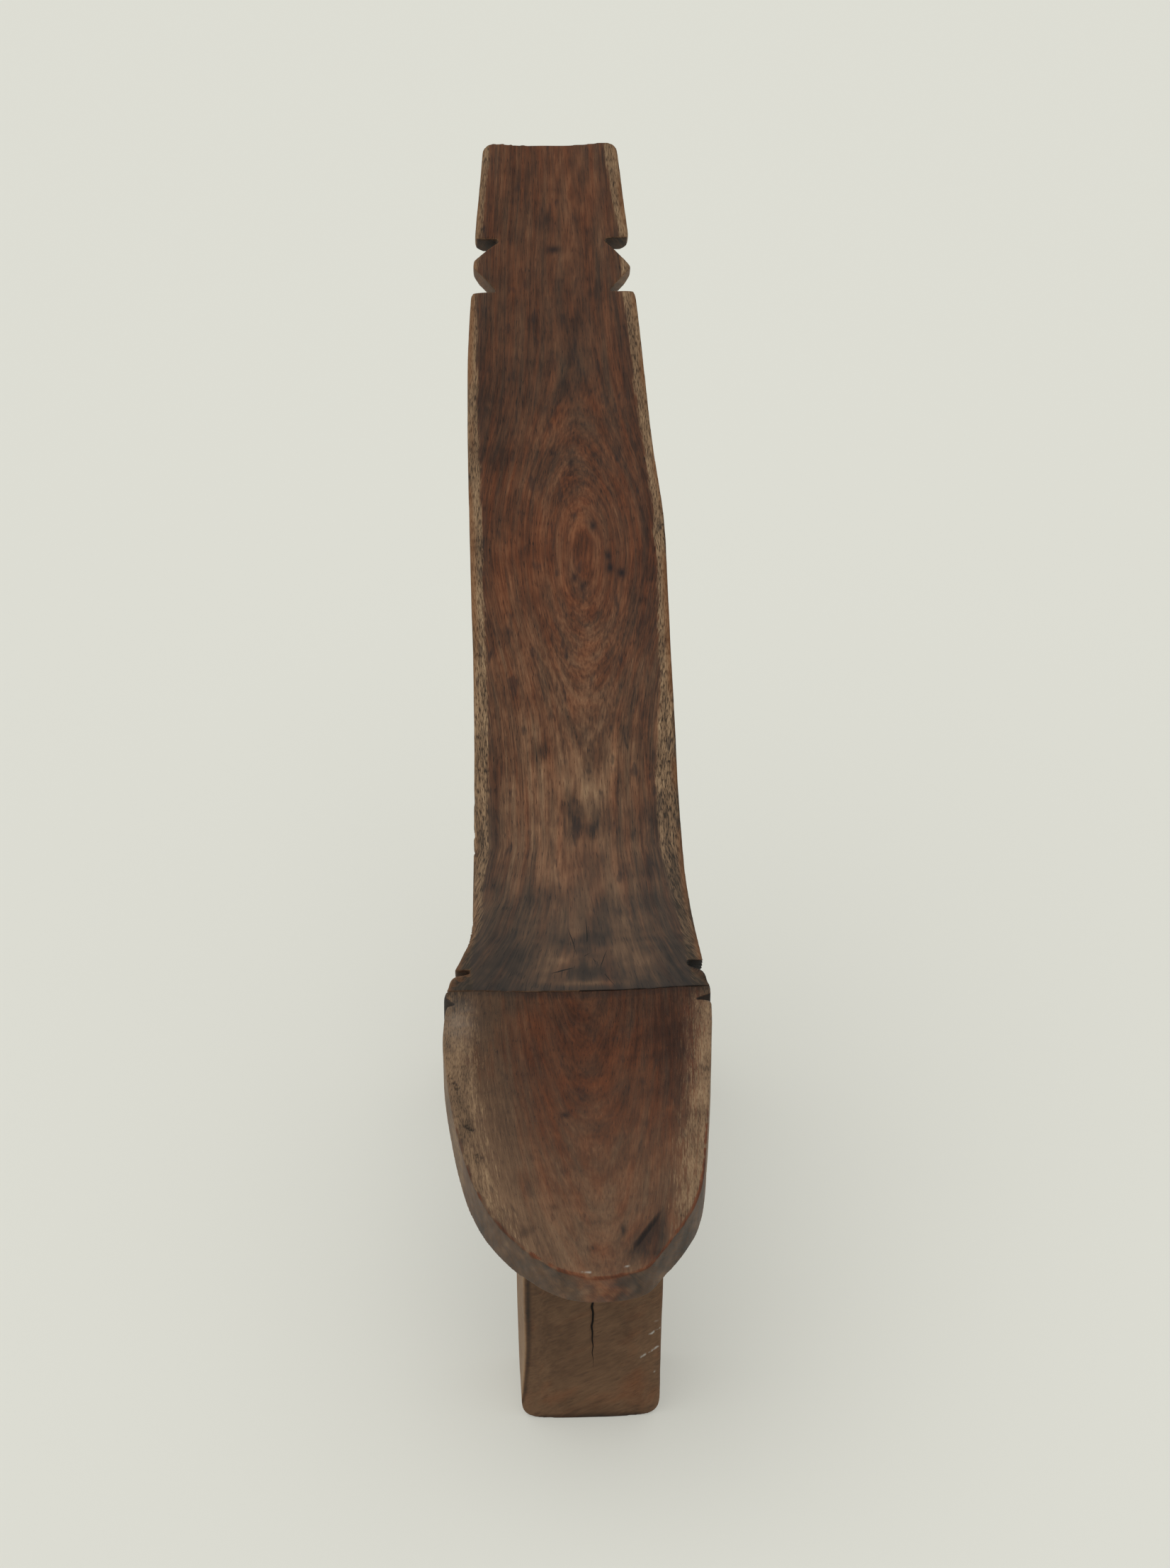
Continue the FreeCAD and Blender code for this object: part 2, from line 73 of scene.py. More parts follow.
COARSER = 1.0
BOARD_VOXEL = 0.0011 * COARSER
LEG_VOXEL = 0.0010 * COARSER
REAR_LEG_VOXEL = 0.0014 * COARSER
PEG_VOXEL = 0.0005 * COARSER

# Moves by wear that tell a flat from a sharp edge, and the passes that round a corner
FLAT_EDGE = 0.0002
SHARP_EDGE = 0.0007
CORNER_PASSES = 12

# Wear along an edge: its mean share, how far that share swings and the length of a swing
WEAR_SHARE = 0.6
WEAR_SWING = 0.4
WEAR_LENGTH = 0.02

# Distances from the crease at which wear begins and is full
JOINT_HELD = 0.001
JOINT_FREE = 0.006

# Depths of what is cut out of the surfaces, and the height of what fills the back's teeth
BLADE_WAVES = 0.0003
BLADE_FLATS = 0.0001
PEG_UNEVENNESS = 0.0001
BACK_CHIPS = 0.0018
SEAT_CHIPS = 0.0013
LEG_CHIPS = 0.0010
NICK_DEPTH = 0.0008
GOUGE_DEPTH = 0.002
GROOVE_DEPTH = 0.002
TOOTH_FILL = 0.004

# Sizes of the blade's waves and flats and of the breaks in a scratch, and a scratch's full share
BLADE_WAVE_SIZE = 0.045
BLADE_FLAT_SIZE = 0.012
SCRATCH_BREAKS = 0.002
SCRATCH_CORE = 0.3

# The gouge in the seat: its start and end, how far it reaches beside its line and spreads along it
GOUGE_START = (0.0443, 0.290)
GOUGE_END = (0.0248, 0.3235)
GOUGE_REACH = 0.006
GOUGE_SPREAD = 0.015

# How the front leg leaves its solid: squarer foot corners, a slanted left side and a bulging face
FOOT_SQUARENESS = 4
LEFT_SLANT = 0.0045
SLANT_HEIGHT = 0.07
FACE_BULGE = 0.004
FACE_REACH = 0.04

# Where the heart of the tree lies under each piece; under the back it comes nearest at the eye
EYE_ACROSS = 0.0137
EYE_ALONG = 0.377
EYE_HALF_LENGTH = 0.095
BACK_HEART_DEPTH = 0.055
BACK_HEART_RISE = 0.035
SEAT_HEART_ACROSS = 0.003
SEAT_HEART_DEPTH = 0.02
SEAT_HEART_FALL = 0.13
LEG_HEART_DEPTH = 0.04
PLAIN_HEART_ACROSS = -0.01
PLAIN_HEART_DEPTH = 0.02

# Share of a point's depth under the show face by which the rings draw nearer to the heart
RING_DRAW = 0.4

# The front leg's grain climbs from left to right: its share across, its share up and that of the rings
LEG_GRAIN_ACROSS = 0.9
LEG_GRAIN_UP = 0.42
LEG_RING_SHARE = 0.3

# How far the rings, grain lines, sapwood borders and cracks sway, and how near its line a crack opens
RING_SWAY = 0.0015
GRAIN_SWAY = 0.003
BORDER_SWAY = 0.0015
CRACK_SWAY = 0.0007
CRACK_REACH = 0.0025

# How far the rim and the nose of the seat are taken out of the sapwood
RIM_FROM_SAPWOOD = 8.0

# Values of the points where a piece has no sapwood, knots, cracks or scuffs
NO_SAPWOOD = -5.0
NO_CRACK = -0.001
UNMARKED = {
    "sapwood": NO_SAPWOOD, "knots": 0.0, "crack_side": 1.0, "crack_gap": NO_CRACK, "scuffs": 0.0,
}

# Ragged numbers that scatter the noise, and a lump size that leaves it even along an axis
NOISE_KEY = np.array((12.9898, 78.233, 37.719))
NOISE_SPREAD = 43758.5453
NOISE_SEED_STEP = 17.31
EVEN = 1.0

# Seeds of the pegs, three for each
FIRST_PEG_SEED = 51
SEEDS_PER_PEG = 3

# Camera, measured from the crease on the floor
CAMERA_FROM_CREASE = Vector((-0.0758, -1.9939, 1.5))
CAMERA_TILT = math.radians(29.0)
CAMERA_TURN = math.radians(-2.3)
FOCAL_LENGTH = 69.92
SENSOR_WIDTH = 36.0

# Light: an even white room and one broad lamp from the upper left
ROOM_COLOUR = (1.0, 1.0, 0.98, 1.0)
ROOM_STRENGTH = 0.74
LAMP_STRENGTH = 0.9
LAMP_SPREAD = math.radians(90)
LAMP_TOWARDS = Vector((0.5, 0.35, -1.1))

# Colours as 0 to 255 display values, from tone 0 to tone 1 in equal steps
BROWN_HEART = [(34, 29, 26), (56, 45, 37), (85, 64, 48), (114, 88, 66), (143, 116, 88)]
RED_HEART = [(34, 22, 17), (59, 36, 25), (94, 55, 35), (122, 79, 53), (148, 105, 74)]
SAPWOOD = [(44, 36, 27), (74, 58, 43), (110, 87, 65), (136, 111, 84), (162, 138, 107)]
STAIN = (40, 34, 32)
KNOT = (30, 25, 25)
WORN_EDGE = (120, 78, 46)
CRACK = (16, 12, 10)
SCUFF = (172, 170, 162)
FLOOR = (222, 222, 213)

# Tone of the painted shade on the cut faces in the deep notches
NOTCH_SHADE_TONE = 0.08

# Streaks in the wood, in lumps per metre over the rings, along the grain and straight across it
BAND_STREAKS = (90, 4, 12)
LINE_STREAKS = (420, 8, 22)
FIBRE_STREAKS = (1100, 50, 450)
MOTTLE_STREAKS = (0, 38, 60)
PORE_STREAKS = (0, 110, 1500)
HUE_STREAKS = (230, 14, 60)
FLECK_STREAKS = (0, 170, 1300)
CLOUD_STREAKS = (0, 28, 150)
STAIN_STREAKS = (0, 40, 130)

# Noise at which flecks, pores and stains begin and are full, and how softly a crack's gap ends
FLECK_RANGE = (0.54, 0.36)
PORE_RANGE = (0.38, 0.30)
STAIN_RANGE = (0.40, 0.30)
CRACK_RANGE = (-0.0001, 0.0002)

# How much each kind of streak or mark changes the wood's tone or colour
BAND_STRENGTH = 0.25
LINE_STRENGTH = 0.55
FIBRE_STRENGTH = 0.6
MOTTLE_STRENGTH = 0.55
PORE_STRENGTH = -0.25
HUE_STRENGTH = 1.9
FLECK_STRENGTH = -0.46
CLOUD_STRENGTH = 0.6
BORDER_RAGGEDNESS = 6.0
STAIN_STRENGTH = 0.5
WORN_STRENGTH = 0.5

# Surfaces
LEAST_WOOD_ROUGHNESS = 0.42
WOOD_ROUGHNESS_SPREAD = 0.3
WOOD_SPECULAR = 0.12
BUMP_STRENGTH = 0.3
BUMP_HEIGHT = 0.0005
FLOOR_ROUGHNESS = 0.9
FLOOR_SPECULAR = 0.1
FLOOR_REACH = 14.0

# Share of the floor's own colour that shows whatever the shade, for a light studio shadow
FLOOR_GLOW = 0.35


def linear(colour):
    """Display colour in the renderer's own scale, by the standard curve."""
    parts = (c / 255 for c in colour)
    return tuple(c / 12.92 if c < 0.04045 else ((c + 0.055) / 1.055) ** 2.4 for c in parts) + (1.0,)


def smooth_step(value, low, high):
    """Soft step from 0 at the low value to 1 at the high one, which may be the smaller."""
    share = np.clip((value - low) / (high - low), 0, 1)
    return share * share * (3 - 2 * share)


def bell(value, half_width):
    """1 where the value is 0, falling softly to both sides."""
    return np.exp(-(value / half_width) ** 2)


def blend(first, second, share):
    """From the first value at share 0 to the second at share 1."""
    return first + (second - first) * share


def noise(points, size, seed):
    """Smooth random values from -1 to 1; the size of their lumps is one for each axis or for all."""
    cells = points / np.asarray(size) + seed * NOISE_SEED_STEP
    base = np.floor(cells)
    part = smooth_step(cells - base, 0, 1)
    total = np.zeros(len(points))
    for corner in itertools.product((0, 1), repeat=3):
        value = np.sin((base + corner) @ NOISE_KEY) * NOISE_SPREAD
        weight = np.where(corner, part, 1 - part).prod(axis=1)
        total += weight * (value - np.floor(value))
    return 2 * total - 1


def between(along, rows):
    """Value at each place along a piece, on straight runs through (along, value) rows."""
    return np.interp(along, *zip(*rows))


def patches(place, rows):
    """Sum of soft patches, each (across, along, half width, half length, strength)."""
    total = np.zeros(len(place))
    for across, along, half_width, half_length, strength in rows:
        total += strength * bell(place[:, 0] - across, half_width) * bell(place[:, 1] - along, half_length)
    return total


def stroke(place, start, end):
    """How far along a straight stroke each point lies, from 0 to 1, and its distance beside it."""
    run = np.subtract(end, start)
    length = np.linalg.norm(run)
    from_start = place[:, :2] - start
    travel = from_start @ run / length ** 2
    beside = (from_start[:, 0] * run[1] - from_start[:, 1] * run[0]) / length
    return travel, beside


def scratches(place, rows, half_width, seed):
    """1 in broken scratches, each from a start to an end place."""
    broken = smooth_step(noise(place, SCRATCH_BREAKS, seed), -0.3, 0.3)
    total = np.zeros(len(place))
    for start, end in rows:
        travel, beside = stroke(place, start, end)
        on_line = smooth_step(np.abs(beside), half_width, SCRATCH_CORE * half_width)
        on_line *= (travel > 0) & (travel < 1)
        total = np.maximum(total, on_line * broken)
    return total


def crack_lines(place, rows, depth, seed):
    """Distance to one side or the other of the nearest crack, and half the width of its gap there,
    below 0 where there is none. Each crack runs from a start to an end place, is widest halfway and
    ends at a depth under the show face."""
    sway = CRACK_SWAY * noise(place, (0.006, 0.006, EVEN), seed)
    side = np.full(len(place), UNMARKED["crack_side"])
    half_gap = np.full(len(place), NO_CRACK)
    for start, end, widest in rows:
        travel, beside = stroke(place, start, end)
        beside = beside + sway
        gap = np.where(np.abs(beside) < CRACK_REACH, widest * (1 - (2 * travel - 1) ** 2), NO_CRACK)
        near = (np.abs(beside) < 2 * CRACK_REACH) & (travel > -0.2) & (travel < 1.2)
        side = np.where(near, beside, side)
        half_gap = np.where(near, gap, half_gap)
    return side, np.where(place[:, 2] > -depth, half_gap, NO_CRACK)


def from_outline(place):
    """Distance of each point in from the edge on its own side, from the widest point of each row."""
    row_height = 0.004
    row = np.floor(place[:, 1] / row_height).astype(int)
    row -= row.min()
    left = np.full(row.max() + 1, np.inf)
    right = np.full(row.max() + 1, -np.inf)
    np.minimum.at(left, row, place[:, 0])
    np.maximum.at(right, row, place[:, 0])
    return np.minimum(place[:, 0] - left[row], right[row] - place[:, 0])


def back_place(points):
    """Places on the back, along its curve."""
    y = points[:, 1] - CREASE + BACK_RADIUS * math.sin(BACK_FOOT_ANGLE)
    z = points[:, 2] - RIM_HEIGHT - BACK_RADIUS * math.cos(BACK_FOOT_ANGLE)
    along = (np.arctan2(y, -z) - BACK_FOOT_ANGLE) * BACK_RADIUS
    return np.stack([points[:, 0] - MIDDLE, along, BACK_RADIUS - np.hypot(y, z)], axis=1)


def facing_up_back(along, normals):
    """How far each point faces up the back, from -1 to 1."""
    angle = BACK_FOOT_ANGLE + along / BACK_RADIUS
    return normals[:, 1] * np.cos(angle) + normals[:, 2] * np.sin(angle)


def seat_place(points):
    """Places on the seat, forward from the crease."""
    return np.stack([points[:, 0] - MIDDLE, CREASE - points[:, 1], points[:, 2] - SEAT_HEIGHT], axis=1)


def front_leg_place(points):
    """Places on the front leg, up from the floor."""
    across = points[:, 0] - MIDDLE - FRONT_LEG_OFFSET
    return np.stack([across, points[:, 2], leg_low.y - points[:, 1]], axis=1)


def worked_copy(node, voxel):
    """Even mesh over a solid, fine enough to be worn and cut, standing for that solid."""
    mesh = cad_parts[node].data.copy()
    weld_distance = voxel / 100
    weld = bmesh.new()
    weld.from_mesh(mesh)
    bmesh.ops.remove_doubles(weld, verts=weld.verts, dist=weld_distance)
    weld.to_mesh(mesh)
    weld.free()
    piece = bpy.data.objects.new(node + "_wood", mesh)
    bpy.context.scene.collection.objects.link(piece)
    even = piece.modifiers.new("even", "REMESH")
    even.mode = "VOXEL"
    even.voxel_size = voxel
    graph = bpy.context.evaluated_depsgraph_get()
    piece.data = bpy.data.meshes.new_from_object(piece.evaluated_get(graph))
    piece.modifiers.clear()
    piece.data.materials.clear()
    piece.data.shade_smooth()
    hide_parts(node)
    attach(piece, "root")
    return piece


def vectors(items, part):
    """One vector of each item of a mesh, in rows."""
    flat = np.empty(len(items) * 3)
    items.foreach_get(part, flat)
    return flat.reshape(-1, 3)


def points_of(piece):
    return vectors(piece.data.vertices, "co")


def normals_of(piece):
    return vectors(piece.data.vertex_normals, "vector")


def set_points(piece, points):
    """Moves the points of a mesh, no further out than the box of its solid."""
    low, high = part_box(piece.name.removesuffix("_wood"))
    piece.data.vertices.foreach_set("co", np.clip(points, low, high).ravel())
    piece.data.update()


def neighbour_mean(piece, values, times):
    """Vectors at the points of a mesh, evened out along its edges."""
    flat = np.empty(len(piece.data.edges) * 2, dtype=np.int64)
    piece.data.edges.foreach_get("vertices", flat)
    a, b = flat.reshape(-1, 2).T
    count = len(values)
    links = np.bincount(a, minlength=count) + np.bincount(b, minlength=count)
    for _ in range(times):
        total = [
            np.bincount(a, values[b, axis], count) + np.bincount(b, values[a, axis], count)
            for axis in range(values.shape[1])
        ]
        values = np.stack(total, axis=1) / np.maximum(links, 1)[:, None]
    return values


def evened(piece, values, times):
    """Single values at the points of a mesh, evened out along its edges."""
    return neighbour_mean(piece, values[:, None], times)[:, 0]


def wear_edges(piece, times, share):
    """Rounds every edge by a share at each point. Returns 1 on a sharp edge and 0 on a flat."""
    points = points_of(piece)
    moved = neighbour_mean(piece, points, times) - points
    edge = -(moved * normals_of(piece)).sum(axis=1)
    set_points(piece, points + moved * share[:, None])
    return smooth_step(edge, FLAT_EDGE, SHARP_EDGE)


def round_corners(piece, place, corners):
    """Rounds the edges further near each corner, given as (across, along, reach)."""
    share = patches(place, [(across, along, reach, reach, 1.0) for across, along, reach in corners])
    wear_edges(piece, CORNER_PASSES, np.minimum(share, 1))


def off_joint(distance):
    """0 beside the crease, where back and seat stay as their solids are, and 1 away from it."""
    return smooth_step(distance, JOINT_HELD, JOINT_FREE)


def uneven(points, seed):
    """Share of wear that changes along an edge, from a little to all of it."""
    return WEAR_SHARE + WEAR_SWING * noise(points, WEAR_LENGTH, seed)


def chipped(piece, points, edge, size, seed):
    """1 where a chip is broken out of an edge."""
    near_edge = evened(piece, edge, times=2)
    return smooth_step(noise(points, size, seed), 0.0, 0.6) * smooth_step(near_edge, 0.05, 0.4)


def sink(piece, depth):
    """Moves the surface in by a depth at every point."""
    set_points(piece, points_of(piece) - normals_of(piece) * depth[:, None])


def blade_marks(points, seed):
    """Slow waves and small flats left by the blade, never above the solid's own surface."""
    waves = BLADE_WAVES * (1 + noise(points, BLADE_WAVE_SIZE, seed))
    return waves + BLADE_FLATS * (1 + noise(points, BLADE_FLAT_SIZE, seed + 1))


def rings(place, heart, depth, flare=1.0):
    """Distance from the heart of the tree, which lies under one line along the piece at a depth that
    changes along it, so that the year rings close into loops or run straight. They spread with the
    flare, and draw nearer to the heart below the show face."""
    sway = RING_SWAY * noise(place, (0.03, 0.09, 0.03), seed=3)
    return np.hypot((place[:, 0] - heart) / flare, depth + RING_DRAW * np.minimum(place[:, 2], 0)) + sway


def grain_line(place, flare):
    """Which line of the grain each point lies on; the lines spread with the flare and sway a little,
    and go on round the sides of the piece."""
    sway = GRAIN_SWAY * noise(place, (0.04, 0.07, 0.04), seed=4)
    return (place[:, 0] + sway) / flare + place[:, 2]


def past_border(place, left, right, softness):
    """How far each point lies in the sapwood outside two border lines, in units of the softness."""
    sway = BORDER_SWAY * noise(place, (0.02, 0.02, 0.05), seed=5)
    past_left = between(place[:, 1], left) - place[:, 0]
    past_right = place[:, 0] - between(place[:, 1], right)
    return (np.maximum(past_left, past_right) + sway) / softness


def in_sapwood(sap):
    """1 in the sapwood and 0 in the heartwood, from how far a point lies past the border."""
    return smooth_step(sap, -1, 1)


def finish_wood(piece, material, slot, **values):
    """Gives a piece its material, and keeps the named values on its points for that material. A
    value is one number for all points, or a number or a vector for each."""
    for name, value in (UNMARKED | values).items():
        if np.ndim(value) == 0:
            value = np.full(len(piece.data.vertices), value)
        kind, part = ("FLOAT_VECTOR", "vector") if value.ndim == 2 else ("FLOAT", "value")
        kept = piece.data.attributes.new(name, kind, "POINT")
        kept.data.foreach_set(part, value.astype(np.float32).ravel())
    piece.data.materials.append(material)


def back_outline(place):
    """How far each point of the backrest moves sideways to its uneven outline: a widening that
    changes along it, a bulge on the right and the two teeth at the crease."""
    widening = between(place[:, 1], [
        (0.06, 0.0), (0.15, 0.01), (0.5, 0.01), (0.6, 0.016), (0.66, 0.028), (0.745, 0.008),
    ])
    return place[:, 0] * widening + patches(place, [
        (0.085, 0.405, 0.03, 0.05, 0.0022), (-0.097, 0.008, 0.008, 0.007, -0.003),
        (0.099, 0.009, 0.008, 0.007, 0.002),
    ])


def back_bites(place, normals, chips):
    """How much is chipped and bitten out of the back, low on its left edge and at the left of its top."""
    across, along, _ = place.T
    low_left = smooth_step(along, 0.175, 0.125) * smooth_step(along, 0.009, 0.025) * (across < 0)
    top_left = smooth_step(along, 0.725, 0.74) * smooth_step(across, -0.012, -0.02)
    side_bites = smooth_step(noise(place, (EVEN, 0.007, 0.05), seed=13), 0.1, 0.6)
    side_bites *= smooth_step(-normals[:, 0], 0.6, 0.9)
    top_bites = smooth_step(noise(place, (0.0045, EVEN, 0.05), seed=19), 0.0, 0.5)
    top_bites *= smooth_step(facing_up_back(along, normals), 0.4, 0.8)
    return chips * (low_left + top_left) + side_bites * low_left + top_bites * top_left


def shape_backrest(piece, place):
    """Widens the backrest a little to its uneven outline, then wears and chips it and fills its teeth
    at the crease. Returns how sharp the edge was at each point, off the joint."""
    along = place[:, 1]
    points = points_of(piece)
    points[:, 0] += back_outline(place)
    set_points(piece, points)
    normals = normals_of(piece)
    free = off_joint(np.abs(along))
    edge = wear_edges(piece, times=3, share=uneven(points, seed=11) * free)
    round_corners(piece, place, [
        (-0.0755, 0.6115, 0.008), (0.066, 0.6115, 0.006), (-0.072, 0.637, 0.005), (0.061, 0.6335, 0.005),
        (-0.0685, 0.6595, 0.006), (0.061, 0.6595, 0.006), (-0.0965, 0.019, 0.008), (-0.101, 0.006, 0.005),
        (0.101, 0.006, 0.005),
    ])
    teeth = patches(place, [(-0.094, 0.009, 0.007, 0.006, 1.0), (0.094, 0.011, 0.007, 0.006, 1.0)])
    teeth *= facing_up_back(along, normals) > 0.2
    chips = chipped(piece, points, edge, size=0.005, seed=12)
    cuts = BACK_CHIPS * back_bites(place, normals, chips) - TOOTH_FILL * teeth
    sink(piece, blade_marks(points, seed=14) * free + cuts)
    return edge * free


def back_cuts(place, facing):
    """1 on the cut faces in the notches of the back, and the tone of those faces, which holds painted shade:
    black in the right notch at the foot, and darker on the faces that look down the back at the head.
    """
    across, along, _ = place.T
    in_notch = between(along, [(0.0235, 1), (0.0255, 0), (0.605, 0), (0.607, 1), (0.663, 1), (0.665, 0)])
    cut = smooth_step(np.abs(facing), 0.3, 0.6) * in_notch
    # Painted shade: near black in the right notch at the foot, darker on the downward cut faces at the head
    foot_tone = np.where(across < 0, 0.6, NOTCH_SHADE_TONE)
    head_tone = np.where(facing < -0.9, 0.32, 0.62)
    return cut, np.where(along < 0.1, foot_tone, head_tone)


def back_sapwood(place):
    """How far each point lies in the sapwood along the back's two edges."""
    left = [
        (0.025, -0.084), (0.055, -0.076), (0.115, -0.068), (0.205, -0.066), (0.425, -0.0685),
        (0.6, -0.0685), (0.66, -0.0625), (0.745, -0.055),
    ]
    right = [
        (0.005, 0.088), (0.055, 0.08), (0.115, 0.067), (0.175, 0.065), (0.235, 0.071), (0.305, 0.0735),
        (0.365, 0.073), (0.425, 0.0705), (0.485, 0.065), (0.555, 0.0585), (0.605, 0.054), (0.66, 0.051),
        (0.745, 0.042),
    ]
    return past_border(place, left, right, softness=0.0012)


def back_heart_tone(place):
    """Tone of the back's heartwood: palest above the foot, with pale spots, dark spots and strips,
    ragged smudges, and blotches towards the foot."""
    along = place[:, 1]
    tone = between(along, [
        (0.0, 0.35), (0.035, 0.38), (0.065, 0.42), (0.105, 0.51), (0.125, 0.56), (0.175, 0.65),
        (0.2, 0.63), (0.24, 0.57), (0.305, 0.51), (0.375, 0.47), (0.455, 0.44), (0.525, 0.43),
        (0.605, 0.42), (0.665, 0.46), (0.745, 0.5),
    ])
    pale_spots = [
        (EYE_ACROSS, EYE_ALONG, 0.022, 0.035, 0.03), (0.0145, 0.175, 0.01, 0.014, 0.12),
        (-0.03, 0.165, 0.014, 0.03, 0.05), (-0.022, 0.0995, 0.014, 0.012, 0.1),
        (-0.0147, 0.0264, 0.012, 0.009, 0.28), (0.0244, 0.0343, 0.014, 0.007, 0.18),
        (0.0478, 0.0232, 0.012, 0.012, 0.22), (0.005, 0.0066, 0.022, 0.0022, 0.3),
        (0.0011, 0.054, 0.012, 0.009, 0.14), (0.0373, 0.0527, 0.01, 0.008, 0.12),
        (-0.0402, 0.0505, 0.012, 0.014, 0.1), (0.013, 0.082, 0.012, 0.018, 0.15),
        (0.04, 0.085, 0.012, 0.012, 0.09),
    ]
    dark_spots = [
        (-0.004, 0.575, 0.025, 0.05, -0.08), (-0.055, 0.03, 0.026, 0.03, -0.26),
        (0.008, 0.0425, 0.022, 0.007, -0.16), (0.08, 0.03, 0.012, 0.03, -0.14),
        (0.0575, 0.165, 0.013, 0.09, -0.16), (-0.0615, 0.165, 0.012, 0.09, -0.18),
        (-0.0551, 0.4974, 0.012, 0.06, -0.13), (0.0014, 0.5257, 0.006, 0.008, -0.1),
        (0.0571, 0.4917, 0.009, 0.06, -0.05), (0.0627, 0.3302, 0.008, 0.08, -0.12),
        (-0.033, 0.715, 0.018, 0.027, -0.09), (0.0021, 0.0155, 0.018, 0.006, -0.14),
        (-0.045, 0.205, 0.012, 0.04, -0.1), (0.047, 0.22, 0.012, 0.03, -0.08),
        (-0.042, 0.668, 0.016, 0.02, -0.11),
    ]
    smudges = [
        (-0.0204, 0.0828, 0.014, 0.01, 0.24), (-0.0258, 0.2008, 0.007, 0.008, 0.26),
        (0.0132, 0.1334, 0.014, 0.012, 0.24), (-0.014, 0.2143, 0.01, 0.01, 0.16),
        (-0.0008, 0.1574, 0.012, 0.01, 0.24), (-0.0092, 0.6785, 0.008, 0.013, 0.2),
        (0.0018, 0.7068, 0.0035, 0.014, 0.14), (0.0139, 0.709, 0.004, 0.016, 0.16),
        (0.0179, 0.6784, 0.003, 0.01, 0.14), (0.0253, 0.6186, 0.012, 0.014, 0.14),
    ]
    ragged = 0.8 + noise(place, (0.004, 0.008, 0.02), seed=38)
    tone += patches(place, pale_spots + dark_spots) - ragged * patches(place, smudges)
    tone += 0.09 * smooth_step(along, 0.3, 0.1) * noise(place, (0.018, 0.014, 0.02), seed=15)
    return tone + 0.08 * smooth_step(along, 0.09, 0.03) * noise(place, (0.007, 0.004, 0.02), seed=18)


def back_sap_tone(place):
    """Tone of the back's sapwood: darker towards the foot, darker on the lower right edge as painted shade
    where that edge rolls away from the lamp on the left, and paler low on the left."""
    across, along, _ = place.T
    tone = between(along, [
        (0.0, 0.22), (0.02, 0.24), (0.045, 0.36), (0.085, 0.4), (0.135, 0.48), (0.205, 0.64),
        (0.305, 0.66), (0.45, 0.62), (0.56, 0.58), (0.69, 0.63), (0.75, 0.61),
    ])
    # Painted shade along the lower right edge, which rolls away from the lamp on the left
    tone -= 0.3 * smooth_step(from_outline(place), 0.003, 0.001) * (across > 0) * (along < 0.4)
    return tone + 0.12 * (across < 0) * smooth_step(along, 0.3, 0.2) * smooth_step(along, 0.03, 0.08)


def back_tone(place, sap):
    """Tone of the back, a little darker beside the sapwood, and darker at the crease as painted shade."""
    along = place[:, 1]
    tone = back_heart_tone(place) - 0.07 * smooth_step(sap, -9, -4) * smooth_step(along, 0.08, 0.14)
    tone = blend(tone, back_sap_tone(place), in_sapwood(sap))
    # Painted shade in the crease where the back meets the seat
    return tone - 0.14 * smooth_step(along, 0.012, 0.0)


def back_grain(place):
    """Grain of the back, with rings that close into an eye and lines that fan out at the foot."""
    along = place[:, 1]
    flare = between(along, [
        (0.0, 2.0), (0.02, 1.65), (0.045, 1.3), (0.075, 1.08), (0.12, 0.93), (0.2, 0.94), (0.38, 1.05),
        (0.6, 0.9), (0.745, 0.78),
    ])
    depth = BACK_HEART_DEPTH - BACK_HEART_RISE * bell(along - EYE_ALONG, EYE_HALF_LENGTH)
    return np.stack([rings(place, EYE_ACROSS, depth, flare), along, grain_line(place, flare)], axis=1)


def back_worn(place, sap, edge):
    """1 on the worn edges of the back and in patches along the outside of its sapwood."""
    outer = smooth_step(from_outline(place), 0.007, 0.002) * smooth_step(sap, 0, 2)
    outer *= smooth_step(noise(place, (0.01, 0.03, 0.02), seed=16), -0.6, 0.4)
    return np.maximum(edge, outer)


def make_backrest(material):
    piece = worked_copy("backrest", BOARD_VOXEL)
    place = back_place(points_of(piece))
    along = place[:, 1]
    cut, cut_tone = back_cuts(place, facing_up_back(along, normals_of(piece)))
    edge = shape_backrest(piece, place)
    sap = back_sapwood(place)
    crack_side, crack_gap = crack_lines(place, [
        ((0.0072, 0.0626), (0.0076, 0.0299), 0.0005), ((0.0076, 0.0319), (0.0299, 0.0011), 0.0004),
        ((-0.0223, 0.0148), (-0.0027, 0.0198), 0.0005), ((-0.0025, 0.0256), (0.0104, 0.0318), 0.0003),
        ((0.0227, 0.0346), (0.0161, 0.0167), 0.0004), ((-0.0078, 0.0537), (-0.0007, 0.0301), 0.0004),
    ], depth=0.012, seed=17)
    red = between(along, [
        (0.0, 0.0), (0.055, 0.05), (0.105, 0.3), (0.205, 0.35), (0.305, 0.55), (0.375, 0.9), (0.455, 0.6),
        (0.555, 0.5), (0.745, 0.65),
    ])
    finish_wood(
        piece, material, "chair_wood",
        grain=back_grain(place),
        figure=between(along, [
            (0.0, 0.75), (0.06, 0.9), (0.13, 1.2), (0.22, 1.25), (0.3, 1.05), (EYE_ALONG, 1.0), (0.5, 0.9),
            (0.745, 0.9),
        ]),
        tone=blend(back_tone(place, sap), cut_tone, cut),
        redness=red * (1 - cut),
        sapwood=np.where(cut > 0.5, NO_SAPWOOD, sap),
        knots=patches(place, [
            (0.0232, 0.401, 0.0032, 0.005, 0.9), (0.0346, 0.3736, 0.003, 0.0045, 0.9),
            (0.036, 0.363, 0.0032, 0.005, 1.0), (0.045, 0.3577, 0.0035, 0.0055, 1.0),
            (0.0067, 0.3554, 0.0028, 0.0045, 0.8), (0.0128, 0.347, 0.003, 0.005, 0.8),
            (0.0066, 0.458, 0.003, 0.006, 0.8), (-0.0028, 0.652, 0.0075, 0.0042, 0.9),
        ]),
        worn=back_worn(place, sap, edge) * (1 - cut),
        crack_side=crack_side,
        crack_gap=crack_gap,
        scuffs=0.03 * smooth_step(along, 0.2, 0.05) * (1 - cut),
    )


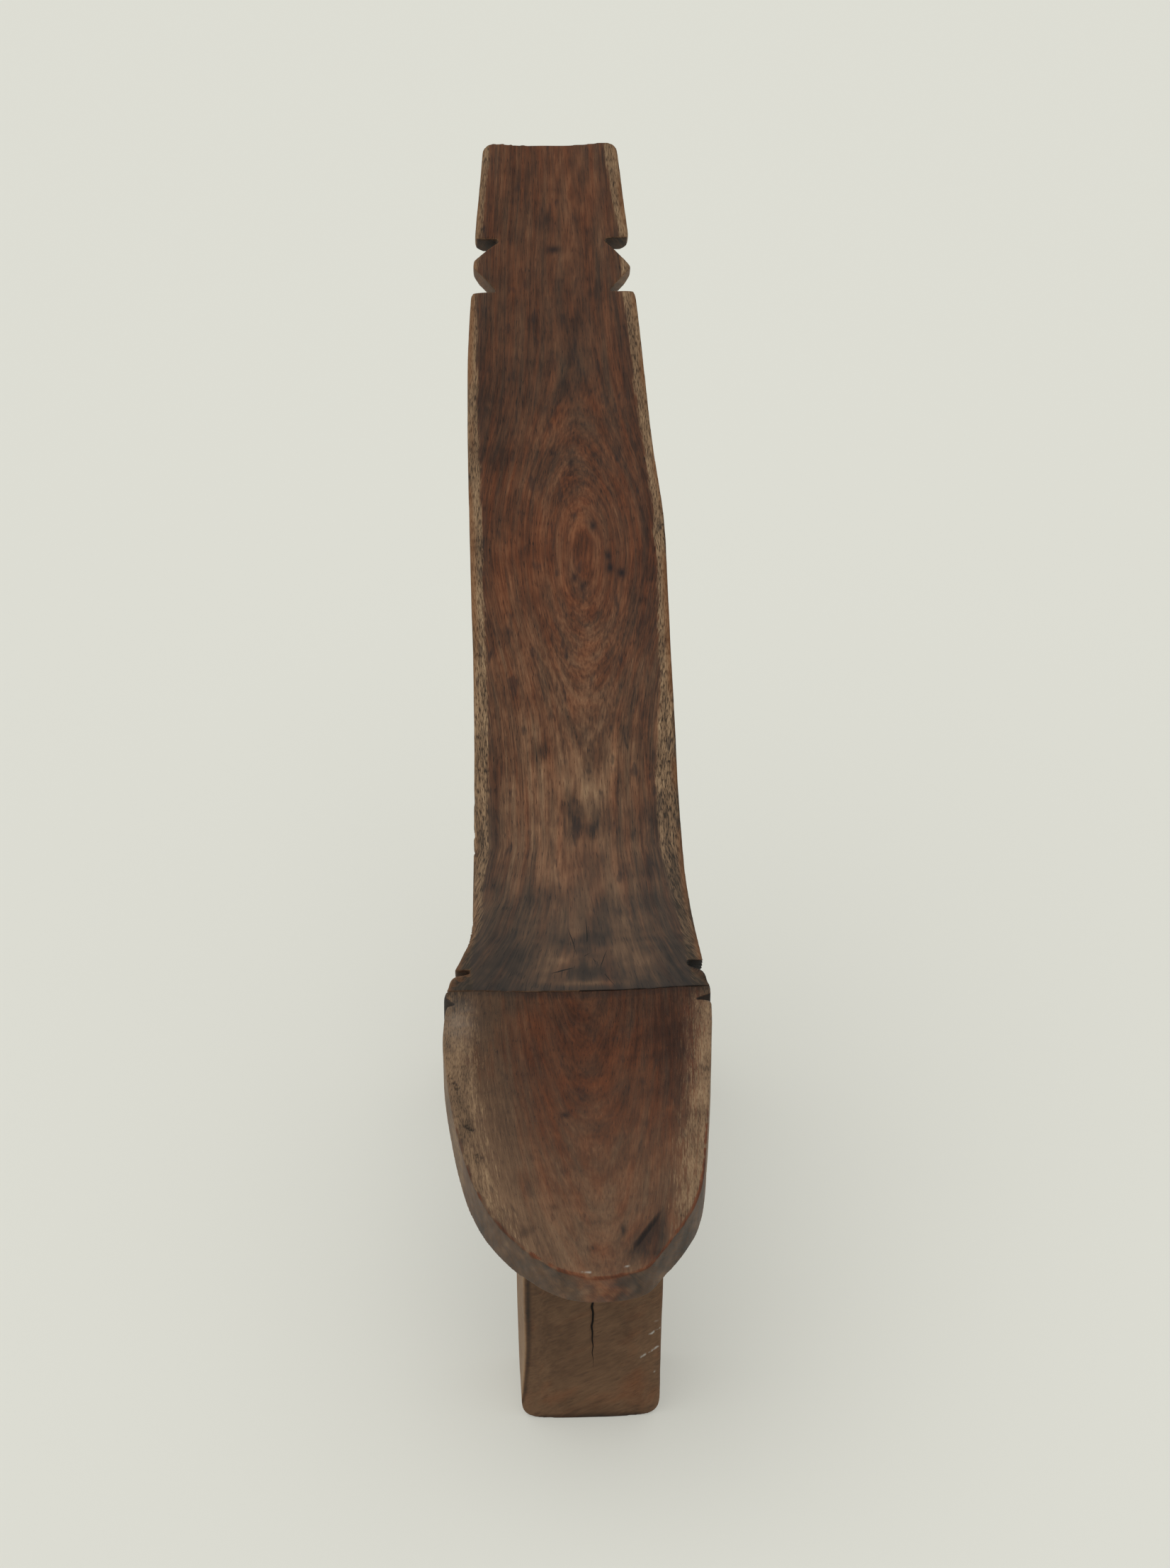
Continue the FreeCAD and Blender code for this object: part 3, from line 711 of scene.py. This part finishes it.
def gouged(place, normals):
    """1 in the slanting gouge near the seat's front, and 1 on the sharp line at its left."""
    travel, beside = stroke(place, GOUGE_START, GOUGE_END)
    on_top = smooth_step(normals[:, 2], 0.8, 0.95)
    within = smooth_step(travel, -0.25, 0.35) * smooth_step(travel, 1.6, 0.9) * on_top
    reach = GOUGE_REACH + GOUGE_SPREAD * np.clip(travel, 0, 1.3)
    hollow = smooth_step(beside, -0.0004, 0.0012) * smooth_step(beside / reach, 1.5, 0.6) * within
    line = smooth_step(np.abs(beside - 0.0008), 0.0022, 0.0006) * within * smooth_step(travel, 1.1, 0.9)
    return hollow, line


def seat_nicks(place, normals):
    """1 in the nicks on top of the seat's left edge."""
    nicks = scratches(place, [
        ((-0.1017, 0.1229), (-0.0944, 0.1471)), ((-0.0903, 0.1901), (-0.0842, 0.1978)),
        ((-0.0824, 0.2241), (-0.078, 0.2299)),
    ], half_width=0.0022, seed=29)
    return nicks * (normals[:, 2] > 0.5)


def worn_nose(piece, place, points):
    """1 on the rubbed upper edge round the seat's nose."""
    _, along, out = place.T
    turning = smooth_step(np.abs(normals_of(piece)[:, 2] - 0.6), 0.38, 0.2) * (out > -0.012)
    nose = smooth_step(evened(piece, turning, times=4), 0.06, 0.3) * smooth_step(along, 0.15, 0.25)
    return nose * smooth_step(noise(points, 0.006, seed=28), -0.8, 0.2)


def shape_seat(piece, place, normals):
    """Wears, chips, nicks and gouges the seat and fills its teeth at the crease. Returns how sharp
    the edge was at each point, off the joint, and 1 on the rubbed edge of the nose."""
    _, along, out = place.T
    points = points_of(piece)
    free = off_joint(along)
    edge = wear_edges(piece, times=2, share=uneven(points, seed=21) * free) * free
    round_corners(piece, place, [(-0.103, 0.0205, 0.007), (0.101, 0.0205, 0.005), (-0.101, 0.009, 0.005)])
    nose = worn_nose(piece, place, points)
    on_board = out > -SEAT_EDGE_DEPTH
    chips = chipped(piece, points, edge, size=0.006, seed=22) * smooth_step(along, 0.02, 0.06) * on_board
    hollow, _ = gouged(place, normals)
    teeth = patches(place, [(-0.101, 0.008, 0.02, 0.007, 0.0032), (0.101, 0.004, 0.02, 0.006, 0.0012)])
    teeth *= smooth_step(np.abs(normals[:, 0]), 0.3, 0.7) * on_board
    cuts = SEAT_CHIPS * chips + NICK_DEPTH * seat_nicks(place, normals) + GOUGE_DEPTH * hollow - teeth
    sink(piece, blade_marks(points, seed=23) * free + cuts)
    return edge, nose


def seat_cuts(place, normals):
    """1 on the cut faces in the seat's notches beside the crease."""
    across, along, out = place.T
    in_notch = between(along, [(0.0205, 1), (0.0225, 0)]) * (np.abs(across) > 0.08)
    return in_notch * (out > -SEAT_EDGE_DEPTH) * smooth_step(normals[:, 2], 0.7, 0.4)


def seat_sapwood(place):
    """How far each point lies in the sapwood along the seat's two edges."""
    left = [(0.0, -0.094), (0.046, -0.086), (0.12, -0.083), (0.196, -0.08), (0.266, -0.073), (0.326, -0.058)]
    right = [(0.0, 0.092), (0.036, 0.087), (0.116, 0.08), (0.206, 0.069), (0.266, 0.061), (0.326, 0.062)]
    return past_border(place, left, right, softness=0.009)


def seat_heart_tone(place):
    """Tone of the seat's heartwood: paler to the front and the left, and darker to the back partly as
    painted shade under the backrest; with small spots and a strip of painted shade on the right inner wall
    of the dish.
    """
    across, along, _ = place.T
    # Darker towards the crease, partly the wood's own colour and partly painted shade under the backrest
    tone = between(along, [
        (0.0, 0.37), (0.03, 0.35), (0.08, 0.36), (0.12, 0.4), (0.146, 0.43), (0.196, 0.49), (0.246, 0.57),
        (0.296, 0.63), (0.356, 0.65),
    ])
    tone += patches(place, [
        (-0.0427, 0.052, 0.02, 0.03, 0.07), (-0.0487, 0.31, 0.004, 0.005, -0.2),
        (-0.0029, 0.324, 0.005, 0.005, -0.15), (-0.0287, 0.2774, 0.003, 0.004, -0.15),
        (0.0185, 0.305, 0.0018, 0.006, -0.35), (0.045, 0.276, 0.012, 0.02, -0.1),
        # The first patch on this row is painted shade on the right inner wall of the dish
        (0.066, 0.1, 0.014, 0.11, -0.12), (0.028, 0.318, 0.026, 0.034, -0.14),
    ])
    return tone + 0.1 * smooth_step(across, -0.045, -0.08)


def seat_sap_tone(place):
    """Tone of the seat's sapwood: darkened at the crease as painted shade, with pale and dark spots."""
    across, along, _ = place.T
    tone = np.where(across < 0, 0.6, 0.61) + 0.08 * noise(place, (0.012, 0.03, 0.03), seed=24)
    # Painted shade near the crease under the backrest
    tone -= 0.3 * smooth_step(along, np.where(across < 0, 0.05, 0.026), 0.014)
    return tone + patches(place, [
        (0.0862, 0.1148, 0.014, 0.02, 0.08), (0.081, 0.1594, 0.014, 0.012, 0.1),
        (0.0746, 0.182, 0.02, 0.006, -0.2), (0.0696, 0.2247, 0.012, 0.02, 0.06),
        (0.089, 0.1245, 0.006, 0.004, -0.25), (-0.094, 0.062, 0.006, 0.012, -0.15),
        (-0.0975, 0.136, 0.006, 0.014, -0.12), (-0.0882, 0.1934, 0.007, 0.012, -0.16),
        (-0.081, 0.227, 0.006, 0.01, -0.16),
    ])


def seat_rim(along, normals):
    """1 on the upright rim round the front of the seat."""
    return smooth_step(normals[:, 2], 0.6, 0.3) * smooth_step(along, 0.2, 0.28)


def rim_middle(across):
    """1 at the front of the seat's rim, falling off to both sides."""
    return bell(across - 0.002, 0.02)


def rim_tone_with_shade(place):
    """Tone of the seat's upright rim, set below the top's as painted shade on faces turned from the light:
    darker to the right, partly as painted shade away from the lamp on the left and partly for the paler
    sapwood at the left; blotched, and streaked at the front.
    """
    across = place[:, 0]
    # Below the top's tone as painted shade on the upright face; falls to the right partly as painted shade
    # away from the lamp and partly for the paler sapwood at the left
    tone = 0.44 - 0.6 * across + 0.12 * noise(place, (0.014, 0.014, 0.007), seed=25)
    tone += 0.1 * noise(place, 0.004, seed=20)
    return tone + rim_middle(across) * (0.02 + 0.18 * noise(place, (0.005, 0.02, 0.004), seed=26))


def seat_tone(place, normals, sap, rim, nose, cut):
    """Tone of the seat, with painted shade in the gouge and along its sharp line, on the cut faces of the
    notches and at the crease, and with dark nicks.
    """
    tone = blend(seat_heart_tone(place), seat_sap_tone(place), in_sapwood(sap))
    # Painted shade: the upright rim takes a darker tone than the seat's top
    tone = blend(tone, rim_tone_with_shade(place), rim)
    hollow, line = gouged(place, normals)
    # Painted shade in the gouge's hollow and along its sharp line, and in the crease under the backrest
    tone -= 0.27 * hollow + 0.25 * line + 0.12 * smooth_step(place[:, 1], 0.01, 0.0)
    tone = blend(tone, 0.42, nose)
    # Painted shade: the cut faces in the seat's notches go near black
    tone = blend(tone, NOTCH_SHADE_TONE, cut)
    return tone - 0.3 * seat_nicks(place, normals)


def seat_redness(place, rim):
    """Redness of the seat: most at the back and in the middle of the rim, least at the left."""
    across, along, _ = place.T
    red = between(along, [(0.0, 0.6), (0.08, 0.95), (0.15, 0.7), (0.2, 0.5), (0.28, 0.25), (0.36, 0.15)])
    red -= 0.9 * smooth_step(across, -0.03, -0.075)
    return red + rim * (1.1 * rim_middle(across) - 0.5)


def seat_scuffs(place, rim, nose):
    """Dust at the left of the crease and on the rim, and two pale scratches at the front."""
    dust = patches(place, [(-0.094, 0.045, 0.012, 0.03, 0.09)]) + 0.045 * rim * (1 - nose)
    dust *= 1 + 0.6 * noise(place, 0.006, seed=30)
    return dust + 0.6 * scratches(place, [
        ((-0.0125, 0.3515), (-0.0045, 0.3505)), ((0.0165, 0.348), (0.0215, 0.3465)),
    ], half_width=0.0012, seed=27)


def make_seat(material):
    piece = worked_copy("seat", BOARD_VOXEL)
    place = seat_place(points_of(piece))
    along = place[:, 1]
    normals = normals_of(piece)
    edge, nose = shape_seat(piece, place, normals)
    sap = seat_sapwood(place)
    rim = seat_rim(along, normals)
    cut = seat_cuts(place, normals)
    flare = between(along, [(0.0, 1.0), (0.15, 0.98), (0.25, 0.88), (0.36, 0.72)])
    ring = rings(place, SEAT_HEART_ACROSS, SEAT_HEART_DEPTH + SEAT_HEART_FALL * along)
    finish_wood(
        piece, material, "chair_wood",
        grain=np.stack([ring, along, grain_line(place, flare)], axis=1),
        figure=0.6 - 0.1 * np.maximum(rim, in_sapwood(sap)),
        tone=seat_tone(place, normals, sap, rim, nose, cut),
        redness=seat_redness(place, rim) * (1 - cut) + 1.5 * nose,
        sapwood=np.where(cut > 0.5, NO_SAPWOOD, sap - RIM_FROM_SAPWOOD * (rim + nose)),
        knots=patches(place, [(-0.0168, 0.164, 0.004, 0.004, 0.8)]),
        worn=edge * (1 - cut) * (1 - nose),
        scuffs=seat_scuffs(place, rim, nose),
    )


def squared_foot(across, along):
    """How far the points in the foot's round corners move out and down to make them squarer."""
    smallest = 1e-6
    beside = np.maximum(np.abs(across) - FOOT_HALF_WIDTH + FOOT_RADIUS, 0)
    below = np.maximum(FOOT_RADIUS - along, 0)
    squarer = (beside ** FOOT_SQUARENESS + below ** FOOT_SQUARENESS) ** (1 / FOOT_SQUARENESS)
    further = np.hypot(beside, below) / np.maximum(squarer, smallest) - 1
    further = np.where(np.minimum(beside, below) > 0, further, 0)
    return np.sign(across) * beside * further, below * further


def shape_front_leg(piece, place):
    """Squares the round corners of the foot a little, slants the leg's left side in towards its front
    and takes the front face back towards its edges. Returns 1 on the left side."""
    across, along, out = place.T
    points = points_of(piece)
    outward, down = squared_foot(across, along)
    left = smooth_step(across, -0.03, -0.045)
    near_face = np.clip(1 + out / FACE_REACH, 0, 1)
    slant = LEFT_SLANT * left * near_face * smooth_step(along, 0.0, SLANT_HEIGHT)
    points[:, 0] += outward + slant
    points[:, 1] += FACE_BULGE * np.abs(across / FOOT_HALF_WIDTH) ** 3 * near_face
    points[:, 2] -= down
    set_points(piece, points)
    return left * smooth_step(-normals_of(piece)[:, 0], 0.5, 0.8)


def wear_front_leg(piece, along, crack_side, crack_gap):
    """Wears and chips the leg and opens its crack. Returns how sharp the edge was at each point."""
    points = points_of(piece)
    edge = wear_edges(piece, times=2, share=uneven(points, seed=31))
    groove = bell(crack_side, 0.0014) * smooth_step(crack_gap, 0.0, 0.0008)
    chips = chipped(piece, points, edge, size=0.008, seed=33) * smooth_step(along, 0.05, 0.01)
    sink(piece, blade_marks(points, seed=34) + LEG_CHIPS * chips + GROOVE_DEPTH * groove)
    return edge


def leg_tone(place, left_side):
    """Tone of the front leg: pale on the left side, partly painted light from the lamp on the left and
    partly paler wood; dark along the left corner; dark round the foot, partly painted contact shadow and
    partly dirt.
    """
    across, along, out = place.T
    # The left side is paler partly as painted light from the lamp on the left and partly as paler wood
    tone = 0.6 + 0.05 * noise(place, 0.03, seed=35) + 0.3 * left_side
    tone += patches(place, [
        (-0.002, 0.025, 0.035, 0.012, 0.06), (-0.03, 0.1, 0.02, 0.03, -0.04), (0.04, 0.06, 0.02, 0.05, 0.05),
    ])
    corner = bell(across + 0.0495, 0.0016) * smooth_step(out, -0.004, -0.001)
    # Dark along the left corner, and dark round the foot, partly painted contact shadow and partly dirt
    return tone - 0.3 * np.maximum(corner, smooth_step(along, 0.006, 0.001))


def leg_grain(place):
    """Grain of the front leg, which climbs from left to right across the face."""
    across, along, out = place.T
    uphill = LEG_GRAIN_ACROSS * across + LEG_GRAIN_UP * along + out
    sidehill = LEG_GRAIN_ACROSS * along - LEG_GRAIN_UP * across
    ring = LEG_RING_SHARE * rings(place, 0.0, LEG_HEART_DEPTH)
    return np.stack([ring, uphill, sidehill], axis=1)


def make_front_leg(material):
    piece = worked_copy("front_leg", LEG_VOXEL)
    place = front_leg_place(points_of(piece))
    across, along, _ = place.T
    left_side = shape_front_leg(piece, place)
    crack = ((0.0014, 0.18), (0.0016, 0.045), 0.0009)
    crack_side, crack_gap = crack_lines(place, [crack], depth=0.004, seed=32)
    edge = wear_front_leg(piece, along, crack_side, crack_gap)
    red_spots = patches(place, [(-0.002, 0.02, 0.04, 0.01, 0.35), (0.04, 0.03, 0.012, 0.02, 0.3)])
    finish_wood(
        piece, material, "chair_wood",
        grain=leg_grain(place),
        figure=0.45,
        # The left side's paler, less red colour is partly painted light from the lamp on the left and partly
        # paler wood
        tone=leg_tone(place, left_side),
        redness=red_spots - 0.1 - 0.3 * left_side,
        worn=0.3 * edge * (across > 0),
        crack_side=crack_side,
        crack_gap=crack_gap,
        scuffs=0.8 * scratches(place, [
            ((0.0448, 0.0864), (0.0515, 0.0878)), ((0.0434, 0.0747), (0.0511, 0.0802)),
            ((0.0364, 0.0546), (0.0503, 0.0633)), ((0.0465, 0.0395), (0.0495, 0.0435)),
        ], half_width=0.0011, seed=36),
    )


def plain_finish(piece, material, slot, place, edge, seed):
    """Finish of a piece with no mark of its own."""
    ring = np.hypot(place[:, 0] - PLAIN_HEART_ACROSS, place[:, 2] + PLAIN_HEART_DEPTH)
    finish_wood(
        piece, material, slot,
        grain=np.stack([ring, place[:, 1], grain_line(place, 1.0)], axis=1),
        figure=0.8,
        tone=0.47 + 0.08 * noise(place, 0.03, seed),
        redness=0.35,
        worn=0.7 * edge,
    )


def make_rear_leg(node, material, seed):
    piece = worked_copy(node, REAR_LEG_VOXEL)
    points = points_of(piece)
    edge = wear_edges(piece, times=3, share=uneven(points, seed))
    low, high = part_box(node)
    place = np.stack([points[:, 0] - (low.x + high.x) / 2, points[:, 2], points[:, 1] - high.y], axis=1)
    sink(piece, blade_marks(points, seed + 1))
    plain_finish(piece, material, "chair_wood", place, edge, seed + 2)


def make_peg(node, material, seed):
    piece = worked_copy(node, PEG_VOXEL)
    points = points_of(piece)
    edge = wear_edges(piece, times=3, share=uneven(points, seed))
    sink(piece, PEG_UNEVENNESS * (1 + noise(points, 0.004, seed + 1)))
    plain_finish(piece, material, "peg_wood", points - points.mean(axis=0), edge, seed + 2)


def add_node(tree, kind, inputs=(), **settings):
    """New shader node with its settings; each input is (socket name or number, value or output)."""
    made = tree.nodes.new(kind)
    for name, value in settings.items():
        setattr(made, name, value)
    for socket, value in inputs:
        if isinstance(value, bpy.types.NodeSocket):
            tree.links.new(value, made.inputs[socket])
        else:
            made.inputs[socket].default_value = value
    return made


def add_math(tree, operation, *values):
    return add_node(tree, "ShaderNodeMath", enumerate(values), operation=operation).outputs[0]


def mix_colour(tree, share, first, second):
    """Colour between two, each an output or a display colour."""
    colours = [c if isinstance(c, bpy.types.NodeSocket) else linear(c) for c in (first, second)]
    inputs = [("Fac", share), ("Color1", colours[0]), ("Color2", colours[1])]
    return add_node(tree, "ShaderNodeMixRGB", inputs).outputs["Color"]


def field(tree, name, output="Fac"):
    """Values kept on the points of a piece under a name."""
    return add_node(tree, "ShaderNodeAttribute", attribute_name=name).outputs[output]


def streaks(tree, grain, scale, detail=2.0):
    """Noise drawn out along the grain, in lumps of a scale."""
    drawn = add_node(tree, "ShaderNodeVectorMath", [(0, grain), (1, scale)], operation="MULTIPLY")
    inputs = [("Vector", drawn.outputs[0]), ("Scale", 1.0), ("Detail", detail)]
    return add_node(tree, "ShaderNodeTexNoise", inputs).outputs["Fac"]


def add_share(tree, part, strength, total):
    """Total with a noise added to it, taken from its middle and times a strength."""
    return add_math(tree, "MULTIPLY_ADD", add_math(tree, "SUBTRACT", part, 0.5), strength, total)


def step(tree, value, low, high):
    """Soft step from 0 at the low value to 1 at the high one, which may be the smaller."""
    inputs = [("Value", value), ("From Min", low), ("From Max", high)]
    return add_node(tree, "ShaderNodeMapRange", inputs, interpolation_type="SMOOTHSTEP").outputs["Result"]


def tones(tree, tone, colours):
    """Colour for a tone, through colours at equal steps."""
    made = add_node(tree, "ShaderNodeValToRGB", [("Fac", tone)])
    elements = made.color_ramp.elements
    while len(elements) < len(colours):
        elements.new(1.0)
    for number, (element, colour) in enumerate(zip(elements, colours)):
        element.position = number / (len(colours) - 1)
        element.color = linear(colour)
    return made.outputs["Color"]


def wood_pattern(tree, grain, fibres, pores):
    """Tone of the wood with its bands, lines, fibres, mottle and pores."""
    bands = streaks(tree, grain, BAND_STREAKS)
    lines = streaks(tree, grain, LINE_STREAKS, detail=4.0)
    mottle = streaks(tree, grain, MOTTLE_STREAKS, detail=5.0)
    pattern = add_math(tree, "MULTIPLY", pores, PORE_STRENGTH)
    pattern = add_share(tree, bands, BAND_STRENGTH, pattern)
    pattern = add_share(tree, lines, LINE_STRENGTH, pattern)
    pattern = add_share(tree, fibres, FIBRE_STRENGTH, pattern)
    pattern = add_share(tree, mottle, MOTTLE_STRENGTH, pattern)
    return add_math(tree, "MULTIPLY_ADD", pattern, field(tree, "figure"), field(tree, "tone"))


def bare_colour(tree, grain, fibres, pattern):
    """Colour of brown and red heartwood, and of flecked sapwood past a ragged border."""
    hue_streaks = streaks(tree, grain, HUE_STREAKS, detail=4.0)
    hue = add_share(tree, hue_streaks, HUE_STRENGTH, field(tree, "redness"))
    heart = mix_colour(tree, hue, tones(tree, pattern, BROWN_HEART), tones(tree, pattern, RED_HEART))
    flecks = step(tree, streaks(tree, grain, FLECK_STREAKS), *FLECK_RANGE)
    flecks = add_math(tree, "MULTIPLY", flecks, field(tree, "figure"))
    clouded = add_share(tree, streaks(tree, grain, CLOUD_STREAKS), CLOUD_STRENGTH, pattern)
    sap_tone = add_math(tree, "MULTIPLY_ADD", flecks, FLECK_STRENGTH, clouded)
    ragged = add_share(tree, fibres, BORDER_RAGGEDNESS, field(tree, "sapwood"))
    return mix_colour(tree, step(tree, ragged, -1.0, 1.0), heart, tones(tree, sap_tone, SAPWOOD))


def cracks(tree):
    """1 in the open cracks of a piece."""
    aside = add_math(tree, "ABSOLUTE", field(tree, "crack_side"))
    inside = add_math(tree, "SUBTRACT", field(tree, "crack_gap"), aside)
    return step(tree, inside, *CRACK_RANGE)


def marked_colour(tree, grain, colour):
    """Colour of the wood with its stains, worn edges, knots, cracks and scuffs laid over it."""
    stains = step(tree, streaks(tree, grain, STAIN_STREAKS), *STAIN_RANGE)
    stain_share = add_math(tree, "MULTIPLY", field(tree, "figure"), STAIN_STRENGTH)
    stains = add_math(tree, "MULTIPLY", stains, stain_share)
    worn = add_math(tree, "MULTIPLY", field(tree, "worn"), WORN_STRENGTH)
    knots = field(tree, "knots")
    scuffs = field(tree, "scuffs")
    marks = ((stains, STAIN), (worn, WORN_EDGE), (knots, KNOT), (cracks(tree), CRACK), (scuffs, SCUFF))
    for share, mark in marks:
        colour = mix_colour(tree, share, colour, mark)
    return colour


def wood_material(name):
    material = bpy.data.materials.new(name)
    material.use_nodes = True
    tree = material.node_tree
    shader = tree.nodes["Principled BSDF"]
    grain = field(tree, "grain", "Vector")
    fibres = streaks(tree, grain, FIBRE_STREAKS)
    pores = step(tree, streaks(tree, grain, PORE_STREAKS, detail=1.0), *PORE_RANGE)
    pattern = wood_pattern(tree, grain, fibres, pores)
    colour = marked_colour(tree, grain, bare_colour(tree, grain, fibres, pattern))
    tree.links.new(colour, shader.inputs["Base Color"])

    roughness = add_math(tree, "MULTIPLY_ADD", fibres, WOOD_ROUGHNESS_SPREAD, LEAST_WOOD_ROUGHNESS)
    tree.links.new(roughness, shader.inputs["Roughness"])
    shader.inputs["Specular IOR Level"].default_value = WOOD_SPECULAR
    height = add_math(tree, "SUBTRACT", fibres, pores)
    inputs = [("Strength", BUMP_STRENGTH), ("Distance", BUMP_HEIGHT), ("Height", height)]
    bump = add_node(tree, "ShaderNodeBump", inputs)
    tree.links.new(bump.outputs["Normal"], shader.inputs["Normal"])
    return material


def floor_material():
    """Pale floor that keeps the chair's shadow, lightened where it is seen directly, mirrored or
    through something clear."""
    material = bpy.data.materials.new("pale_floor")
    material.use_nodes = True
    tree = material.node_tree
    shader = tree.nodes["Principled BSDF"]
    shader.inputs["Base Color"].default_value = linear(FLOOR)
    shader.inputs["Roughness"].default_value = FLOOR_ROUGHNESS
    shader.inputs["Specular IOR Level"].default_value = FLOOR_SPECULAR
    glow = add_node(tree, "ShaderNodeEmission", [("Color", linear(FLOOR))])
    rays = add_node(tree, "ShaderNodeLightPath").outputs
    seen = add_math(tree, "MAXIMUM", rays["Is Camera Ray"], rays["Is Glossy Ray"])
    seen = add_math(tree, "MAXIMUM", seen, rays["Is Transmission Ray"])
    share = add_math(tree, "MULTIPLY", seen, FLOOR_GLOW)
    both = add_node(tree, "ShaderNodeMixShader", [(0, share), (1, shader.outputs[0]), (2, glow.outputs[0])])
    tree.links.new(both.outputs[0], tree.nodes["Material Output"].inputs["Surface"])
    return material


def make_floor():
    reach = FLOOR_REACH
    corners = [(-reach, -reach, 0), (reach, -reach, 0), (reach, reach, 0), (-reach, reach, 0)]
    mesh = bpy.data.meshes.new("floor")
    mesh.from_pydata(corners, [], [(0, 1, 2, 3)])
    mesh.materials.append(floor_material())
    floor = bpy.data.objects.new("floor", mesh)
    bpy.context.scene.collection.objects.link(floor)


def make_light():
    world = bpy.data.worlds.new("studio")
    world.use_nodes = True
    background = world.node_tree.nodes["Background"]
    background.inputs["Color"].default_value = ROOM_COLOUR
    background.inputs["Strength"].default_value = ROOM_STRENGTH
    bpy.context.scene.world = world
    lamp = bpy.data.lights.new("soft_key", "SUN")
    lamp.energy = LAMP_STRENGTH
    lamp.angle = LAMP_SPREAD
    key = bpy.data.objects.new("soft_key", lamp)
    key.rotation_euler = LAMP_TOWARDS.to_track_quat("-Z", "Y").to_euler()
    bpy.context.scene.collection.objects.link(key)


def make_camera():
    lens = bpy.data.cameras.new("camera")
    lens.lens = FOCAL_LENGTH
    lens.sensor_width = SENSOR_WIDTH
    camera = bpy.data.objects.new("camera", lens)
    camera.location = Vector((MIDDLE, CREASE, 0)) + CAMERA_FROM_CREASE
    camera.rotation_euler = (math.pi / 2 - CAMERA_TILT, 0, CAMERA_TURN)
    bpy.context.scene.collection.objects.link(camera)
    bpy.context.scene.camera = camera


chair_wood = wood_material("chair_wood")
peg_wood = wood_material("peg_wood")
make_backrest(chair_wood)
make_seat(chair_wood)
make_front_leg(chair_wood)
make_rear_leg("rear_leg_left", chair_wood, seed=41)
make_rear_leg("rear_leg_right", chair_wood, seed=45)
for number, peg in enumerate(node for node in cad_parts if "peg" in node):
    make_peg(peg, peg_wood, seed=FIRST_PEG_SEED + SEEDS_PER_PEG * number)
make_floor()
make_light()
make_camera()

bpy.context.scene.view_settings.view_transform = "Standard"
